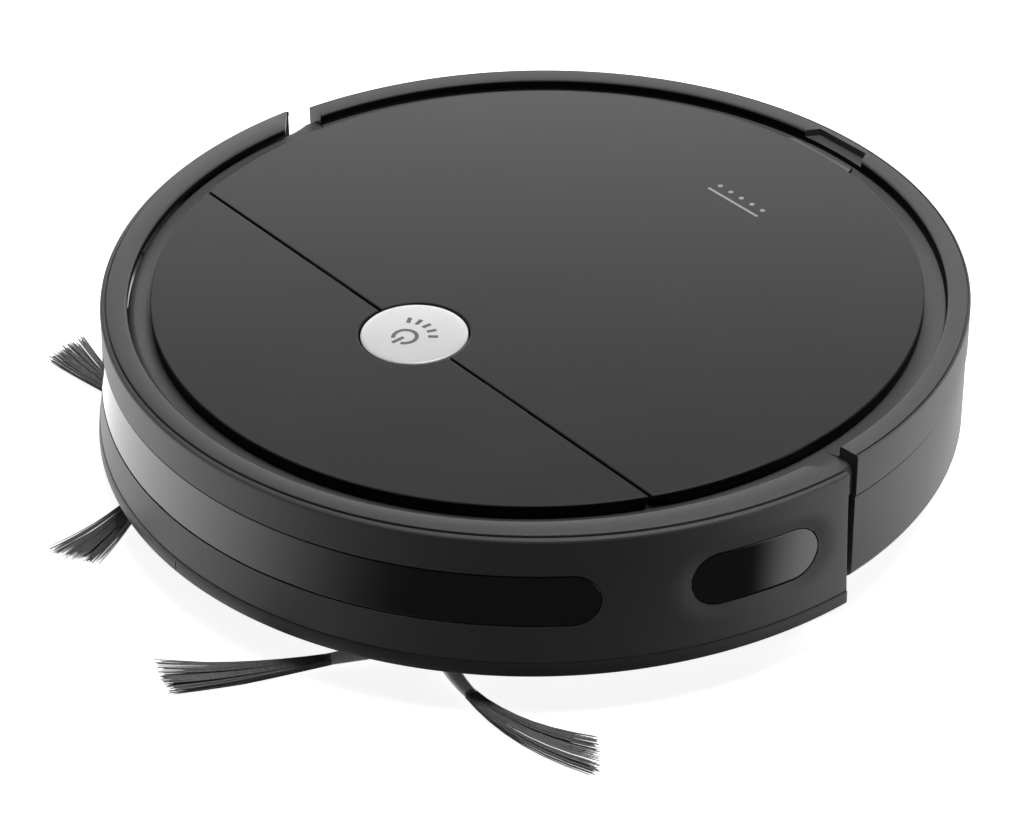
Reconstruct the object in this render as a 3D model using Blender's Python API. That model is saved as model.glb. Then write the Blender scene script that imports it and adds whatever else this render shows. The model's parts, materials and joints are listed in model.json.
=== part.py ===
"""Round robot vacuum cleaner, built as separate pieces on their joint axes.

The robot drives towards -Y, its underside faces -Z and the floor is z = 0.
Every length below is in millimetres and becomes metres in make_object().
Pieces are drawn about the robot's own vertical axis. The side brushes reach
further forward than the body reaches back, so an empty moves that axis back
until the whole footprint is centred on the origin.
Angles are in degrees, counter-clockwise from +X, so the front is -90.
"""
import math

import bmesh
import bpy
from mathutils import Vector

MM = 0.001
GAP = 0.3                 # left between pieces that meet
WALL = 2.5                # moulded casing walls
ARC_STEP = 6.0            # degrees between the edges of the round casings
COVER_WALL = 2.0

# Casing
TOP_Z = 72.0              # rim of the body and of the bumper
BODY_R = 159.0            # rear casing
RIM_WIDTH = 8.2
RIM_INNER_R = BODY_R - RIM_WIDTH
UPPER_HEIGHT = 17.2
SEAM_Z = TOP_Z - UPPER_HEIGHT        # top of the chassis, where the upper housing starts
SEAM_STEP = 0.4           # the chassis stands back from the upper housing
CHASSIS_REAR_Z = 21.0     # rear wall ends here and tapers in to the base
BASE_TAPER = 19.0
BASE_R = BODY_R - BASE_TAPER
BASE_Z = 10.0             # clearance under the base
REAR_END_Y = 11.5         # the rear casing starts this far behind the axis
CHANNEL_DEPTH = 6.0
DECK_Z = TOP_Z - CHANNEL_DEPTH       # floor of the channel round the lid
NOTCH_HALF = 16.0         # finger notch in the rear rim
NOTCH_DEPTH = 4.6
NOTCH_WALL = 4.0          # rim left behind the notch

# Bumper
BUMPER_TRAVEL = 4.0
BUMPER_STEP = 1.0         # the bumper stands out from the rear casing
BUMPER_TOP_R = BODY_R + BUMPER_STEP
BUMPER_SWELL = 3.4        # the upper edge runs this much further out at the sides than in front
BUMPER_FLARE = 5.2
BUMPER_LOW_R = BUMPER_TOP_R + BUMPER_FLARE
BUMPER_Z = 17.0
SKIRT_Z = 22.5            # top of the soft strip under the bumper
BUMPER_END_Y = 3.0
FLANGE_CUT = 14.0         # the rim's inner edge stops this far short of the bumper's ends
BUMPER_WALL = 2.2
BUMPER_ROOM = 3.1         # between the bumper and the fixed wall beside it
FRONT_WALL_R = BUMPER_TOP_R - BUMPER_WALL - BUMPER_ROOM
FLANGE = 3.0              # thickness of the rim that covers the body's ledge
SWITCH_X = 48.0           # micro switches behind the bumper
SWITCH_Z = 30.0
SWITCH_HALF = 9.0
SWITCH_DEPTH = 8.0
SWITCH_ROOM = 0.44        # from a switch's case to the fixed wall's inside
IR_WINDOW = (-148.3, -31.7, 37.0, 56.7)      # from, to, low z, high z
SIDE_WINDOW = (-20.6, -3.4, 36.5, 57.0)
WINDOW_THICK = 1.6

# Lid, cover and button
CHANNEL = 8.7             # between the lid and the rim
LID_R = RIM_INNER_R - CHANNEL
LID_Z = TOP_Z - 0.4
SPLIT_Y = -57.3
SPLIT_GAP = 1.0
LID_SKIRT_Z = DECK_Z + 0.8
TAB_HALF = 18.0           # finger tab on the lid's edge, beside the rim's notch
TAB_REACH = 4.2
HINGE_BACK = 1.9          # from the split line to the hinge
HINGE_Y = SPLIT_Y + HINGE_BACK
HINGE_Z = LID_Z - 1.6
HINGE_PIN_R = 0.8
KNUCKLE_R = 1.5
HINGE_X = 52.0
HINGE_LENGTH = 24.0
EAR = 3.5                 # width of each hinge ear
BUTTON_Y = SPLIT_Y + 0.3
BUTTON_R = 19.5
BUTTON_ROOM = 0.7
BUTTON_TRAVEL = 1.0
BUTTON_STEM_R = 3.5

# Side brushes
BRUSH_X = 78.0
BRUSH_Y = -109.0
BRUSH_REACH = 88.0
BRUSH_HUB_R = 15.0
BRUSH_SHAFT_R = 3.2
BRUSH_MOTOR_Z = (19.0, 42.0)
BRUSH_ANGLES = {"right": (3.8, 123.0, 240.5), "left": (57.0, 178.0, 294.0)}
TUFT_SPREAD = 7.0         # half-angle of a tuft's fanned tip, seen from the hub

# Drive wheels
WHEEL_R = 29.0
WHEEL_X = 114.5
WHEEL_WIDTH = 15.0
TYRE = 5.0
ARM_PIVOT_Y = -41.0
ARM_PIVOT_Z = 36.0
ARM_WIDTH = 17.0
ARM_ROOM = 2.0            # between the gearbox and the wheel
ARM_OUT_X = WHEEL_X - WHEEL_WIDTH / 2 - ARM_ROOM
ARM_IN_X = ARM_OUT_X - ARM_WIDTH
EAR_ROOM = 1.0            # between the gearbox and the outer pivot ear
PIVOT_EARS = ((ARM_IN_X - 7.5, ARM_IN_X - 4.5),
              (ARM_OUT_X + EAR_ROOM, ARM_OUT_X + EAR_ROOM + 3))
PIVOT_PIN_R = 2.5
STUB_R = 4.0              # wheel's shaft, in the gearbox
MOTOR_R = 10.5
MOTOR_LENGTH = 28.0
MOTOR_RISE = 5.0          # drive motor above the wheel's shaft, clear of the base when the wheel drops

# Caster
CASTER_Y = -118.0
CASTER_R = 10.0
CASTER_WIDTH = 11.0
CASTER_TRAIL = 6.0
CASTER_WELL_R = 20.5
FORK_R = 17.5
CASTER_POST_R = 4.0
CASTER_AXLE_R = 1.5

# Main roller
ROLLER_Y = 38.0
ROLLER_R = 18.5
ROLLER_Z = 19.3
ROLLER_HALF = 79.0
ROLLER_CORE_R = 6.0
ROLLER_ROOM = 1.8         # between bristles and their chamber
MOUTH_HALF_Y = 19.0       # half of the opening under the roller, front to back
MOUTH_Z = (20.0, 32.0)    # opening between the chamber and the bin
MOUTH_HALF_X = 40.0
DRIVE_OUT_X = 99.0        # outer side of the roller's gearbox
DRIVE_SHAFT_R = 3.2

# Bin
BIN_FRONT_Y = 62.5
BIN_HALF = 72.0
BIN_BACK_R = 135.0
BIN_Z = 16.0
BIN_COVER = 4.5           # room over the bin for its cover
BIN_TOP_Z = DECK_Z - BIN_COVER
BIN_WALL = 2.0
BAY_ROOM = 0.8

# Fan
FAN_X = 105.0
FAN_Y = 76.0
FAN_R = 22.0
FAN_LOW_Z = 23.0
FAN_TOP_Z = 50.0

# Battery and board
BATTERY_X = 38.0
BATTERY_Y = (-91.0, -23.0)
BATTERY_Z = (13.2, 35.0)
BATTERY_ROOM = 1.0
COVER_ROOM = 0.4          # round the battery's cover
BOARD_DEPTH = 17.0
BOARD_Z = DECK_Z - BOARD_DEPTH
BOARD_THICK = 1.6
SWITCH_HEIGHT = 7.0
SWITCH_TOP_Z = BOARD_Z + SWITCH_HEIGHT        # of the push switch under the main button

# Underside and rear
SENSOR_SIZE = (15.0, 8.0)
SENSOR_ROOM = 0.5
CLIFF_PLACES = ((-118.0, -60.0), (34.0, -127.5), (118.0, -60.0))
CONTACT_X = 50.0
CONTACT_Y = -116.0
CONTACT_SIZE = (15.0, 7.0)
GRILLE = (62.0, 80.0, 30.0, 46.0)             # exhaust: from, to, low z, high z
ROCKER_ANGLE = 152.0
ROCKER_HALF = (9.5, 6.5)                      # switch body, along the wall and up
JACK_ANGLE = 140.0
JACK_R = 4.1
PORT_Z = 38.0
PORT_ROOM = 0.5


# ---------------------------------------------------------------- meshes

def at(radius, angle, z):
    """Point at a distance and angle from the robot's vertical axis."""
    turn = math.radians(angle)
    return (radius * math.cos(turn), radius * math.sin(turn), z)


def steps(start, end, step=ARC_STEP):
    """Angles from start to end, no further apart than step."""
    count = max(1, math.ceil(abs(end - start) / step - 1e-6))
    return [start + (end - start) * i / count for i in range(count + 1)]


def join_meshes(*solids):
    """One mesh from several, each a pair of points and faces."""
    points, faces = [], []
    for solid_points, solid_faces in solids:
        first = len(points)
        points += solid_points
        faces += [[first + i for i in face] for face in solid_faces]
    return points, faces


def loft(loops, closed=False, caps=True):
    """Solid through loops of points: side faces, and caps at the two ends."""
    size = len(loops[0])
    points = [p for loop in loops for p in loop]
    faces = []
    last = len(loops) if closed else len(loops) - 1
    for i in range(last):
        here, there = i * size, (i + 1) % len(loops) * size
        for j in range(size):
            k = (j + 1) % size
            faces.append([here + j, here + k, there + k, there + j])
    if caps and not closed:
        faces.append(list(range(size)))
        faces.append([(len(loops) - 1) * size + j for j in range(size)])
    return points, faces


def sweep(stations, closed=False):
    """Solid whose section at each (angle, [(radius, z), ...]) is that outline."""
    return loft([[at(r, a, z) for r, z in outline] for a, outline in stations], closed)


def dish(stations):
    """Round body from open profiles; the first and last rings get flat caps."""
    rings = []
    for i in range(len(stations[0][1])):
        rings.append([at(outline[i][0], a, outline[i][1]) for a, outline in stations])
    return loft(rings)


def prism(outline, low, high):
    return loft([[(x, y, low) for x, y in outline], [(x, y, high) for x, y in outline]])


def box(x, y, z):
    """Box from three (low, high) pairs."""
    return prism([(x[0], y[0]), (x[1], y[0]), (x[1], y[1]), (x[0], y[1])], *z)


def rod(start, end, radius, sides=16):
    """Cylinder between two points."""
    start, end = Vector(start), Vector(end)
    along = (end - start).normalized()
    across = along.orthogonal().normalized()
    other = along.cross(across)
    loops = []
    for centre in (start, end):
        loops.append([tuple(centre + radius * (across * math.cos(t) + other * math.sin(t)))
                      for t in (2 * math.pi * i / sides for i in range(sides))])
    return loft(loops)


def lathe(profile, centre, axis="Z", sides=24):
    """Closed ring of an (r, height) outline turned about an axis through centre."""
    loops = []
    for i in range(sides):
        turn = 2 * math.pi * i / sides
        loop = []
        for r, h in profile:
            a, b = r * math.cos(turn), r * math.sin(turn)
            offset = (a, b, h) if axis == "Z" else (h, a, b)
            loop.append(tuple(c + o for c, o in zip(centre, offset)))
        loops.append(loop)
    return loft(loops, closed=True)


def arc_points(radius, start, end, step=ARC_STEP, centre=(0.0, 0.0)):
    return [(centre[0] + radius * math.cos(math.radians(a)),
             centre[1] + radius * math.sin(math.radians(a))) for a in steps(start, end, step)]


# --------------------------------------------------------------- objects

def front_reach():
    """How far ahead of the axis the foremost tuft reaches."""
    corners = [math.radians(angle + turn) for angles in BRUSH_ANGLES.values()
               for angle in angles for turn in (-TUFT_SPREAD, TUFT_SPREAD)]
    return -(BRUSH_Y + BRUSH_REACH * min(math.sin(t) for t in corners))


def material(name, colour, roughness, metallic=0.0):
    made = bpy.data.materials.get(name)
    if made is None:
        made = bpy.data.materials.new(name)
        made.use_nodes = True
        shader = made.node_tree.nodes["Principled BSDF"]
        shader.inputs["Base Color"].default_value = (*colour, 1.0)
        shader.inputs["Roughness"].default_value = roughness
        shader.inputs["Metallic"].default_value = metallic
    return made


def make_object(name, solid, origin):
    """Object with its origin at a point given in the robot's frame."""
    mesh = bpy.data.meshes.new(name)
    bm = bmesh.new()
    corners = [bm.verts.new([(c - o) * MM for c, o in zip(point, origin)]) for point in solid[0]]
    for face in solid[1]:
        bm.faces.new([corners[i] for i in face])
    bmesh.ops.remove_doubles(bm, verts=bm.verts, dist=1e-7)
    bmesh.ops.recalc_face_normals(bm, faces=bm.faces)
    bm.to_mesh(mesh)
    bm.free()
    made = bpy.data.objects.new(name, mesh)
    bpy.context.scene.collection.objects.link(made)
    made.location = [c * MM for c in origin]
    made.parent = AXIS
    return made


def piece(name, solid, finish, origin=(0.0, 0.0, 0.0), sharp=30.0):
    """A sub-part of the robot."""
    made = make_object(name, solid, origin)
    made.data.materials.append(finish)
    made.data.shade_smooth()
    made.data.set_sharp_from_angle(angle=math.radians(sharp))
    return made


def combine(target, solid, operation, label):
    """Add to or cut from a piece with a tool solid that isn't itself a piece."""
    tool = make_object(f"{target.name}.{label}", solid, tuple(c / MM for c in target.location))
    tool.hide_render = True
    tool.display_type = "WIRE"
    boolean = target.modifiers.new(label, "BOOLEAN")
    boolean.operation = operation
    boolean.solver = "EXACT"
    boolean.object = tool


def cut(target, *solids, label="cut"):
    combine(target, join_meshes(*solids), "DIFFERENCE", label)


def add(target, *solids, label="add"):
    combine(target, join_meshes(*solids), "UNION", label)


for old in list(bpy.data.objects):
    bpy.data.objects.remove(old, do_unlink=True)

AXIS = bpy.data.objects.new("robot_axis", None)
bpy.context.scene.collection.objects.link(AXIS)
AXIS.location = (0.0, (front_reach() - BODY_R) / 2 * MM, 0.0)

SHELL = material("shell_plastic", (0.045, 0.045, 0.048), 0.5)
LID_PLASTIC = material("lid_plastic", (0.04, 0.04, 0.042), 0.4)
WINDOW = material("window_plastic", (0.012, 0.01, 0.012), 0.08)
SILVER = material("button_plastic", (0.78, 0.78, 0.8), 0.3)
INNER = material("inner_plastic", (0.09, 0.09, 0.095), 0.55)
PALE = material("white_plastic", (0.75, 0.75, 0.74), 0.45)
SMOKE = material("bin_plastic", (0.16, 0.17, 0.19), 0.2)
RUBBER = material("rubber", (0.025, 0.025, 0.027), 0.75)
STEEL = material("steel", (0.6, 0.6, 0.62), 0.3, 1.0)
BRISTLE = material("bristle", (0.2, 0.2, 0.21), 0.6)
BOARD = material("circuit_board", (0.02, 0.17, 0.07), 0.5)
FILTER = material("filter_paper", (0.85, 0.83, 0.78), 0.9)
WRAP = material("battery_wrap", (0.05, 0.16, 0.4), 0.35)


# ---------------------------------------------------------------- casing

REAR_START = math.degrees(math.asin(REAR_END_Y / BODY_R))
REAR_ANGLES = [REAR_START] + steps(10, 170) + [180 - REAR_START]
FRONT_ANGLES = [180 - REAR_START] + steps(185, 355) + [360 + REAR_START]


def set_back(angle):
    """Room the fixed body leaves for the bumper's travel, most at the front."""
    return (BUMPER_TRAVEL + GAP) * max(0.0, -math.sin(math.radians(angle)))


def round_body(rear_profile, front_profile):
    stations = [(a, rear_profile()) for a in REAR_ANGLES]
    stations += [(a, front_profile(set_back(a))) for a in FRONT_ANGLES]
    return dish(stations)


def wheel_side(side):
    """+1 or -1 for the right or left of the robot."""
    return 1 if side == "right" else -1


def span(side, near, far):
    """(low, high) along X of a piece between two distances from the middle."""
    s = wheel_side(side)
    return tuple(sorted((s * near, s * far)))


def lower_chassis():
    floor = BASE_Z + WALL
    high = SEAM_Z

    def rear():
        r = BODY_R - SEAM_STEP
        inside = BODY_R - WALL
        return [(BASE_R, BASE_Z), (r, CHASSIS_REAR_Z), (r, high), (inside, high),
                (inside, CHASSIS_REAR_Z + 1.2), (BASE_R - 1, floor)]

    def front(back):
        r = FRONT_WALL_R - back
        return [(BASE_R - back, BASE_Z), (r, BUMPER_Z + 1), (r, high), (r - WALL, high),
                (r - WALL, BUMPER_Z + 2.2), (BASE_R - 1 - back, floor)]

    body = piece("lower_chassis", round_body(rear, front), SHELL)
    well = (0, CASTER_Y)
    add(body, prism(arc_points(CASTER_WELL_R + 2, 0, 350, 10, well), BASE_Z + 0.5, 29), label="well")
    below = (0, BASE_Z + 10)
    battery = BATTERY_X + BATTERY_ROOM
    openings = [
        prism(arc_points(CASTER_WELL_R, 0, 345, 15, well), 0, 26.5),
        box((-ROLLER_HALF - 4, ROLLER_HALF + 4), (ROLLER_Y - MOUTH_HALF_Y, ROLLER_Y + MOUTH_HALF_Y), below),
        box((-battery, battery), (BATTERY_Y[0] - BATTERY_ROOM, BATTERY_Y[1] + BATTERY_ROOM), below),
    ]
    for side in ("right", "left"):
        s = wheel_side(side)
        openings.append(box(span(side, ARM_IN_X - 1, WHEEL_X + WHEEL_WIDTH / 2 + 2),
                            (-WHEEL_R - 6, WHEEL_R + 5), below))
        openings.append(rod((s * BRUSH_X, BRUSH_Y, 0), (s * BRUSH_X, BRUSH_Y, BASE_Z + 10),
                            BRUSH_SHAFT_R + 1.3))
    cut(body, *openings, label="openings")
    cut(body, rod((*well, 22), (*well, 35), CASTER_POST_R + 0.4), label="caster_socket")
    ears = []
    for side in ("right", "left"):
        for near, far in PIVOT_EARS:
            ears.append(box(span(side, near, far), (ARM_PIVOT_Y - 5, ARM_PIVOT_Y + 4.5),
                            (floor - 1, ARM_PIVOT_Z + 6)))
    add(body, *ears, label="pivot_ears")
    pins = []
    slots = []
    for side in ("right", "left"):
        s = wheel_side(side)
        pins.append(rod((s * (ARM_IN_X - 10), ARM_PIVOT_Y, ARM_PIVOT_Z),
                        (s * (ARM_OUT_X + 8), ARM_PIVOT_Y, ARM_PIVOT_Z), PIVOT_PIN_R + GAP))
        slots.append(box(span(side, SWITCH_X - 3, SWITCH_X + 3),
                         (-FRONT_WALL_R - 5, switch_face() + 1), (SWITCH_Z - 3, SWITCH_Z + 3)))
    cut(body, *pins, *slots, label="pin_holes")
    cut(body, *cliff_holes(), *contact_holes(), label="sensor_holes")
    cut(body, *rear_ports(), label="rear_ports")
    return body


def base_box(x, y, size, room, low, high):
    """Upright block about a place on the base, grown by room on each side."""
    half_x, half_y = size[0] / 2 + room, size[1] / 2 + room
    return box((x - half_x, x + half_x), (y - half_y, y + half_y), (low, high))


def cliff_holes():
    return [base_box(x, y, SENSOR_SIZE, SENSOR_ROOM, 0, BASE_Z + 10) for x, y in CLIFF_PLACES]


def contact_holes():
    return [base_box(x, CONTACT_Y, CONTACT_SIZE, SENSOR_ROOM, 0, BASE_Z + 10)
            for x in (-CONTACT_X, CONTACT_X)]


def wall_block(angle, half_width, low, high, inner_r, outer_r):
    """Block square to the rear wall at an angle, between two radii."""
    out = Vector(at(1, angle, 0))
    along = Vector((-out.y, out.x, 0))
    corners = [out * r + along * w for r, w in
               ((inner_r, -half_width), (outer_r, -half_width),
                (outer_r, half_width), (inner_r, half_width))]
    return prism([(c.x, c.y) for c in corners], low, high)


def rear_ports():
    start, end, low, high = GRILLE
    inner, outer = BODY_R - 11, BODY_R + 6
    exhaust = sweep([(a, [(inner + 2, low), (outer, low), (outer, high), (inner + 2, high)])
                     for a in steps(start, end)])
    half, tall = (size + PORT_ROOM for size in ROCKER_HALF)
    rocker = wall_block(ROCKER_ANGLE, half, PORT_Z - tall, PORT_Z + tall, inner, outer)
    jack = rod(at(inner, JACK_ANGLE, PORT_Z), at(outer, JACK_ANGLE, PORT_Z), JACK_R + PORT_ROOM)
    return [exhaust, rocker, jack]


def upper_housing():
    low = SEAM_Z + GAP
    under = DECK_Z - WALL
    inside = LID_R - 2.1          # within it the deck is flat
    foot = LID_R + 1.4            # the channel's floor starts to rise

    def rear():
        r = BODY_R
        return [(inside, under), (r - 3, under), (r - 3, low), (r, low), (r, TOP_Z - 0.8),
                (r - 0.8, TOP_Z), (RIM_INNER_R + 0.6, TOP_Z), (RIM_INNER_R, TOP_Z - 0.6),
                (RIM_INNER_R, DECK_Z + 1.2), (foot, DECK_Z), (inside, DECK_Z)]

    def front(back):
        r = FRONT_WALL_R - back
        ledge = DECK_Z + 0.8
        return [(inside, under), (r - WALL, under), (r - WALL, low), (r, low), (r, DECK_Z),
                (r - 0.8, ledge), (r - 1.6, ledge), (r - 2.4, ledge), (r - 3.2, ledge),
                (foot, DECK_Z), (inside, DECK_Z)]

    body = piece("upper_housing", round_body(rear, front), SHELL)
    bay = bin_outline(BAY_ROOM)
    front_y, back_y = LID_R - 2, BODY_R - NOTCH_WALL
    notch = prism([(-NOTCH_HALF, front_y), (NOTCH_HALF, front_y), (NOTCH_HALF - 3, back_y),
                   (-NOTCH_HALF + 3, back_y)], TOP_Z - NOTCH_DEPTH, TOP_Z + 5)
    stem = rod((0, BUTTON_Y, under - 5), (0, BUTTON_Y, DECK_Z + 4), BUTTON_STEM_R + 1)
    cut(body, prism(bay, under - 5, TOP_Z + 5), notch, stem, label="openings")
    ears = []
    for side in ("right", "left"):
        for x in hinge_ears():
            ears.append(box(span(side, *x), (HINGE_Y - KNUCKLE_R, HINGE_Y + KNUCKLE_R),
                            (DECK_Z - 1, HINGE_Z + 1.3)))
    add(body, *ears, label="hinge_ears")
    holes = []
    for side in ("right", "left"):
        s = wheel_side(side)
        holes.append(rod((s * (HINGE_X - HINGE_LENGTH), HINGE_Y, HINGE_Z),
                         (s * (HINGE_X + HINGE_LENGTH), HINGE_Y, HINGE_Z), HINGE_PIN_R + GAP, 12))
    cut(body, *holes, label="hinge_holes")
    return body


def hinge_ears():
    half = HINGE_LENGTH / 2
    return ((HINGE_X - half, HINGE_X - half + EAR), (HINGE_X + half - EAR, HINGE_X + half))


def bin_outline(room):
    """Plan of the bin, grown by room on every side."""
    radius = BIN_BACK_R + room
    corner = math.degrees(math.acos((BIN_HALF + room) / radius))
    return [(-BIN_HALF - room, BIN_FRONT_Y - room), (BIN_HALF + room, BIN_FRONT_Y - room),
            *arc_points(radius, corner, 180 - corner)]


# ----------------------------------------------------- lid, cover, button

def plate_outline(radius, split, rear):
    """Part of a disc behind or ahead of the split line."""
    corner = math.degrees(math.asin(split / radius))
    if rear:
        return arc_points(radius, corner, 180 - corner)
    return arc_points(radius, -180 - corner, corner)


def curved_skirt(start, end):
    """Downturned edge of the lid or the cover."""
    outline = [(LID_R - COVER_WALL, LID_SKIRT_Z), (LID_R, LID_SKIRT_Z),
               (LID_R, LID_Z - 1), (LID_R - COVER_WALL, LID_Z - 1)]
    return sweep([(a, outline) for a in steps(start, end)])


def button_hole():
    return prism(arc_points(BUTTON_R + BUTTON_ROOM, 0, 350, 10, (0, BUTTON_Y)), DECK_Z - 10, TOP_Z + 10)


def rear_lid():
    front = SPLIT_Y + SPLIT_GAP / 2
    origin = (0, HINGE_Y, HINGE_Z)
    outline = plate_outline(LID_R, front, True)
    body = piece("rear_lid", prism(outline, LID_Z - COVER_WALL, LID_Z), LID_PLASTIC, origin)
    first = math.degrees(math.asin((HINGE_Y + 4) / LID_R))
    add(body, curved_skirt(first, 180 - first), label="skirt")
    tip = TAB_HALF - 3.5
    inside = LID_R - COVER_WALL - 1.6
    tab = [(-TAB_HALF, inside), (TAB_HALF, inside),
           (tip, LID_R + TAB_REACH), (-tip, LID_R + TAB_REACH)]
    add(body, prism(tab, LID_Z - 1.7, LID_Z - 0.4), label="finger_tab")
    knuckles = []
    for side in ("right", "left"):
        (_, near), (far, _) = hinge_ears()
        s = wheel_side(side)
        knuckles.append(rod((s * (near + GAP), HINGE_Y, HINGE_Z), (s * (far - GAP), HINGE_Y, HINGE_Z),
                            KNUCKLE_R, 12))
    add(body, *knuckles, label="knuckles")
    pins, ears = [], []
    half = HINGE_LENGTH / 2
    for side in ("right", "left"):
        s = wheel_side(side)
        pins.append(rod((s * (HINGE_X - half), HINGE_Y, HINGE_Z), (s * (HINGE_X + half), HINGE_Y, HINGE_Z),
                        HINGE_PIN_R + GAP, 12))
        for low, high in hinge_ears():
            ears.append(box(span(side, low - GAP, high + GAP),
                            (HINGE_Y - 3, HINGE_Y + KNUCKLE_R + 1), (LID_SKIRT_Z - 5, HINGE_Z + 1.6)))
    cut(body, *pins, label="pin_holes")
    cut(body, *ears, button_hole(), label="clearances")
    return body


def hinge_pins():
    half = HINGE_LENGTH / 2 - 0.5
    for side in ("right", "left"):
        s = wheel_side(side)
        piece(f"lid_hinge_pin_{side}",
              rod((s * (HINGE_X - half), HINGE_Y, HINGE_Z), (s * (HINGE_X + half), HINGE_Y, HINGE_Z),
                  HINGE_PIN_R, 12), STEEL, (s * HINGE_X, HINGE_Y, HINGE_Z))


def front_cover():
    rear = SPLIT_Y - SPLIT_GAP / 2
    outline = plate_outline(LID_R, rear, False)
    body = piece("front_cover", prism(outline, LID_Z - COVER_WALL, LID_Z), LID_PLASTIC)
    last = math.degrees(math.asin((rear - 1) / LID_R))
    add(body, curved_skirt(-180 - last, last), label="skirt")
    cut(body, button_hole(), label="button_hole")
    return body


def main_button():
    crown = [(0.31, 0.5), (0.62, 0.3), (0.87, 0.05), (0.97, -0.3), (1, -0.9)]
    low = LID_Z - 2.6
    profile = [(BUTTON_R * share, LID_Z + h) for share, h in crown]
    profile += [(BUTTON_R, low), (BUTTON_STEM_R, low)]
    stem = SWITCH_TOP_Z + BUTTON_TRAVEL + GAP
    profile.append((BUTTON_STEM_R, stem))
    rings = [[(r * math.cos(t), BUTTON_Y + r * math.sin(t), z)
              for t in (2 * math.pi * i / 36 for i in range(36))] for r, z in profile]
    return piece("main_button", loft(rings), SILVER, (0, BUTTON_Y, 0))


# ---------------------------------------------------------------- bumper

def bumper_top_r(angle):
    """Outer radius of the upper edge, a circle whose centre lies behind the axis."""
    t = math.radians(angle)
    edge = BUMPER_TOP_R + BUMPER_SWELL
    return BUMPER_SWELL * math.sin(t) + math.sqrt(edge ** 2 - (BUMPER_SWELL * math.cos(t)) ** 2)


def bumper_r(z, angle):
    """Outer radius of the bumper at a height: upright near the top, flared low down."""
    top = bumper_top_r(angle)
    share = max(0.0, min(1.0, (TOP_Z - z) / (TOP_Z - BUMPER_Z)))
    return top + (BUMPER_LOW_R - top) * share ** 1.8


def bumper_angles():
    end = math.degrees(math.asin(BUMPER_END_Y / bumper_top_r(0)))
    return [-180 - end] + steps(-180, 0) + [end]


def window_solid(window, room, inner, outer):
    """Curved stadium outline between two radius rules, grown by room."""
    start, end, low, high = window
    low, high = low - room, high + room
    half = (high - low) / 2
    middle = (high + low) / 2
    cap = math.degrees(half / BUMPER_TOP_R)
    grow = math.degrees(room / BUMPER_TOP_R)
    start, end = start - grow, end + grow
    shares = [math.sin(math.radians(t)) for t in (0, 30, 60, 90)]
    angles = [start + cap * (1 - math.cos(math.asin(s))) for s in shares]
    stations = [(a, half * s) for a, s in zip(angles, shares)]
    stations += [(a, half) for a in steps(start + cap, end - cap)[1:-1]]
    stations += [(start + end - a, h) for a, h in reversed(stations[:4])]
    sections = []
    for angle, reach in stations:
        heights = [middle - reach, middle, middle + reach]
        outline = [(outer(z, angle), z) for z in heights]
        outline += [(inner(z, angle), z) for z in reversed(heights)]
        sections.append((angle, outline))
    return sections


def window_mesh(sections):
    """Window whose two ends close to a point, so its end loops are left out."""
    points, faces = sweep(sections)
    return points, faces[:-2]


def bumper():
    inner_z = TOP_Z - FLANGE
    heights = [SKIRT_Z + GAP, 30, 40, 50, inner_z]

    def outline(angle):
        top = bumper_top_r(angle)
        points = [(bumper_r(z, angle), z) for z in heights]
        points += [(top, TOP_Z - 1), (top - 1, TOP_Z), (RIM_INNER_R + 0.6, TOP_Z),
                   (RIM_INNER_R, TOP_Z - 0.6), (RIM_INNER_R, inner_z)]
        return points + [(bumper_r(z, angle) - BUMPER_WALL, z) for z in reversed(heights)]

    body = piece("bumper", sweep([(a, outline(a)) for a in bumper_angles()]), SHELL)
    for label, window in window_places():
        sections = window_solid(window, GAP, lambda z, a: bumper_r(z, a) - 6,
                                lambda z, a: bumper_r(z, a) + 3)
        cut(body, window_mesh(sections), label=label)
    inside, outside = RIM_INNER_R - 6, bumper_top_r(0) - BUMPER_WALL - 0.1
    corners = ((inside, BUMPER_END_Y - FLANGE_CUT), (outside, BUMPER_END_Y - 1), (outside, BUMPER_END_Y + 10),
               (inside, BUMPER_END_Y + 10))
    cut(body, *[prism([(s * x, y) for x, y in corners], inner_z - 1, TOP_Z + 2) for s in (1, -1)],
        label="flange_ends")
    return body


def window_places():
    start, end, low, high = SIDE_WINDOW
    return (("ir_window", IR_WINDOW), ("side_window_right", SIDE_WINDOW),
            ("side_window_left", (-180 - end, -180 - start, low, high)))


def bumper_windows():
    for name, window in window_places():
        sections = window_solid(window, 0, lambda z, a: bumper_r(z, a) - WINDOW_THICK - 0.2,
                                lambda z, a: bumper_r(z, a) - 0.2)
        piece(name, window_mesh(sections), WINDOW)


def bumper_strip():
    low, high = BUMPER_Z, SKIRT_Z

    def outline(angle):
        foot, top = bumper_r(low, angle), bumper_r(high, angle)
        return [(foot - 3.2, low), (foot, low), (top + 0.2, high), (top - 3, high)]

    return piece("bumper_strip", sweep([(a, outline(a)) for a in bumper_angles()]), RUBBER)


def ir_sensor_board():
    def outline(angle):
        r = FRONT_WALL_R - set_back(angle) + GAP
        return [(r, 40), (r + 1.4, 40), (r + 1.4, 53), (r, 53)]
    return piece("ir_sensor_board", sweep([(a, outline(a)) for a in steps(-145, -35)]), BOARD)


def switch_face():
    """Where the front of a bumper switch's case lies along Y."""
    inside = FRONT_WALL_R - set_back(-90) - WALL - SWITCH_ROOM
    return -math.sqrt(inside ** 2 - (SWITCH_X + SWITCH_HALF) ** 2)


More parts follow.
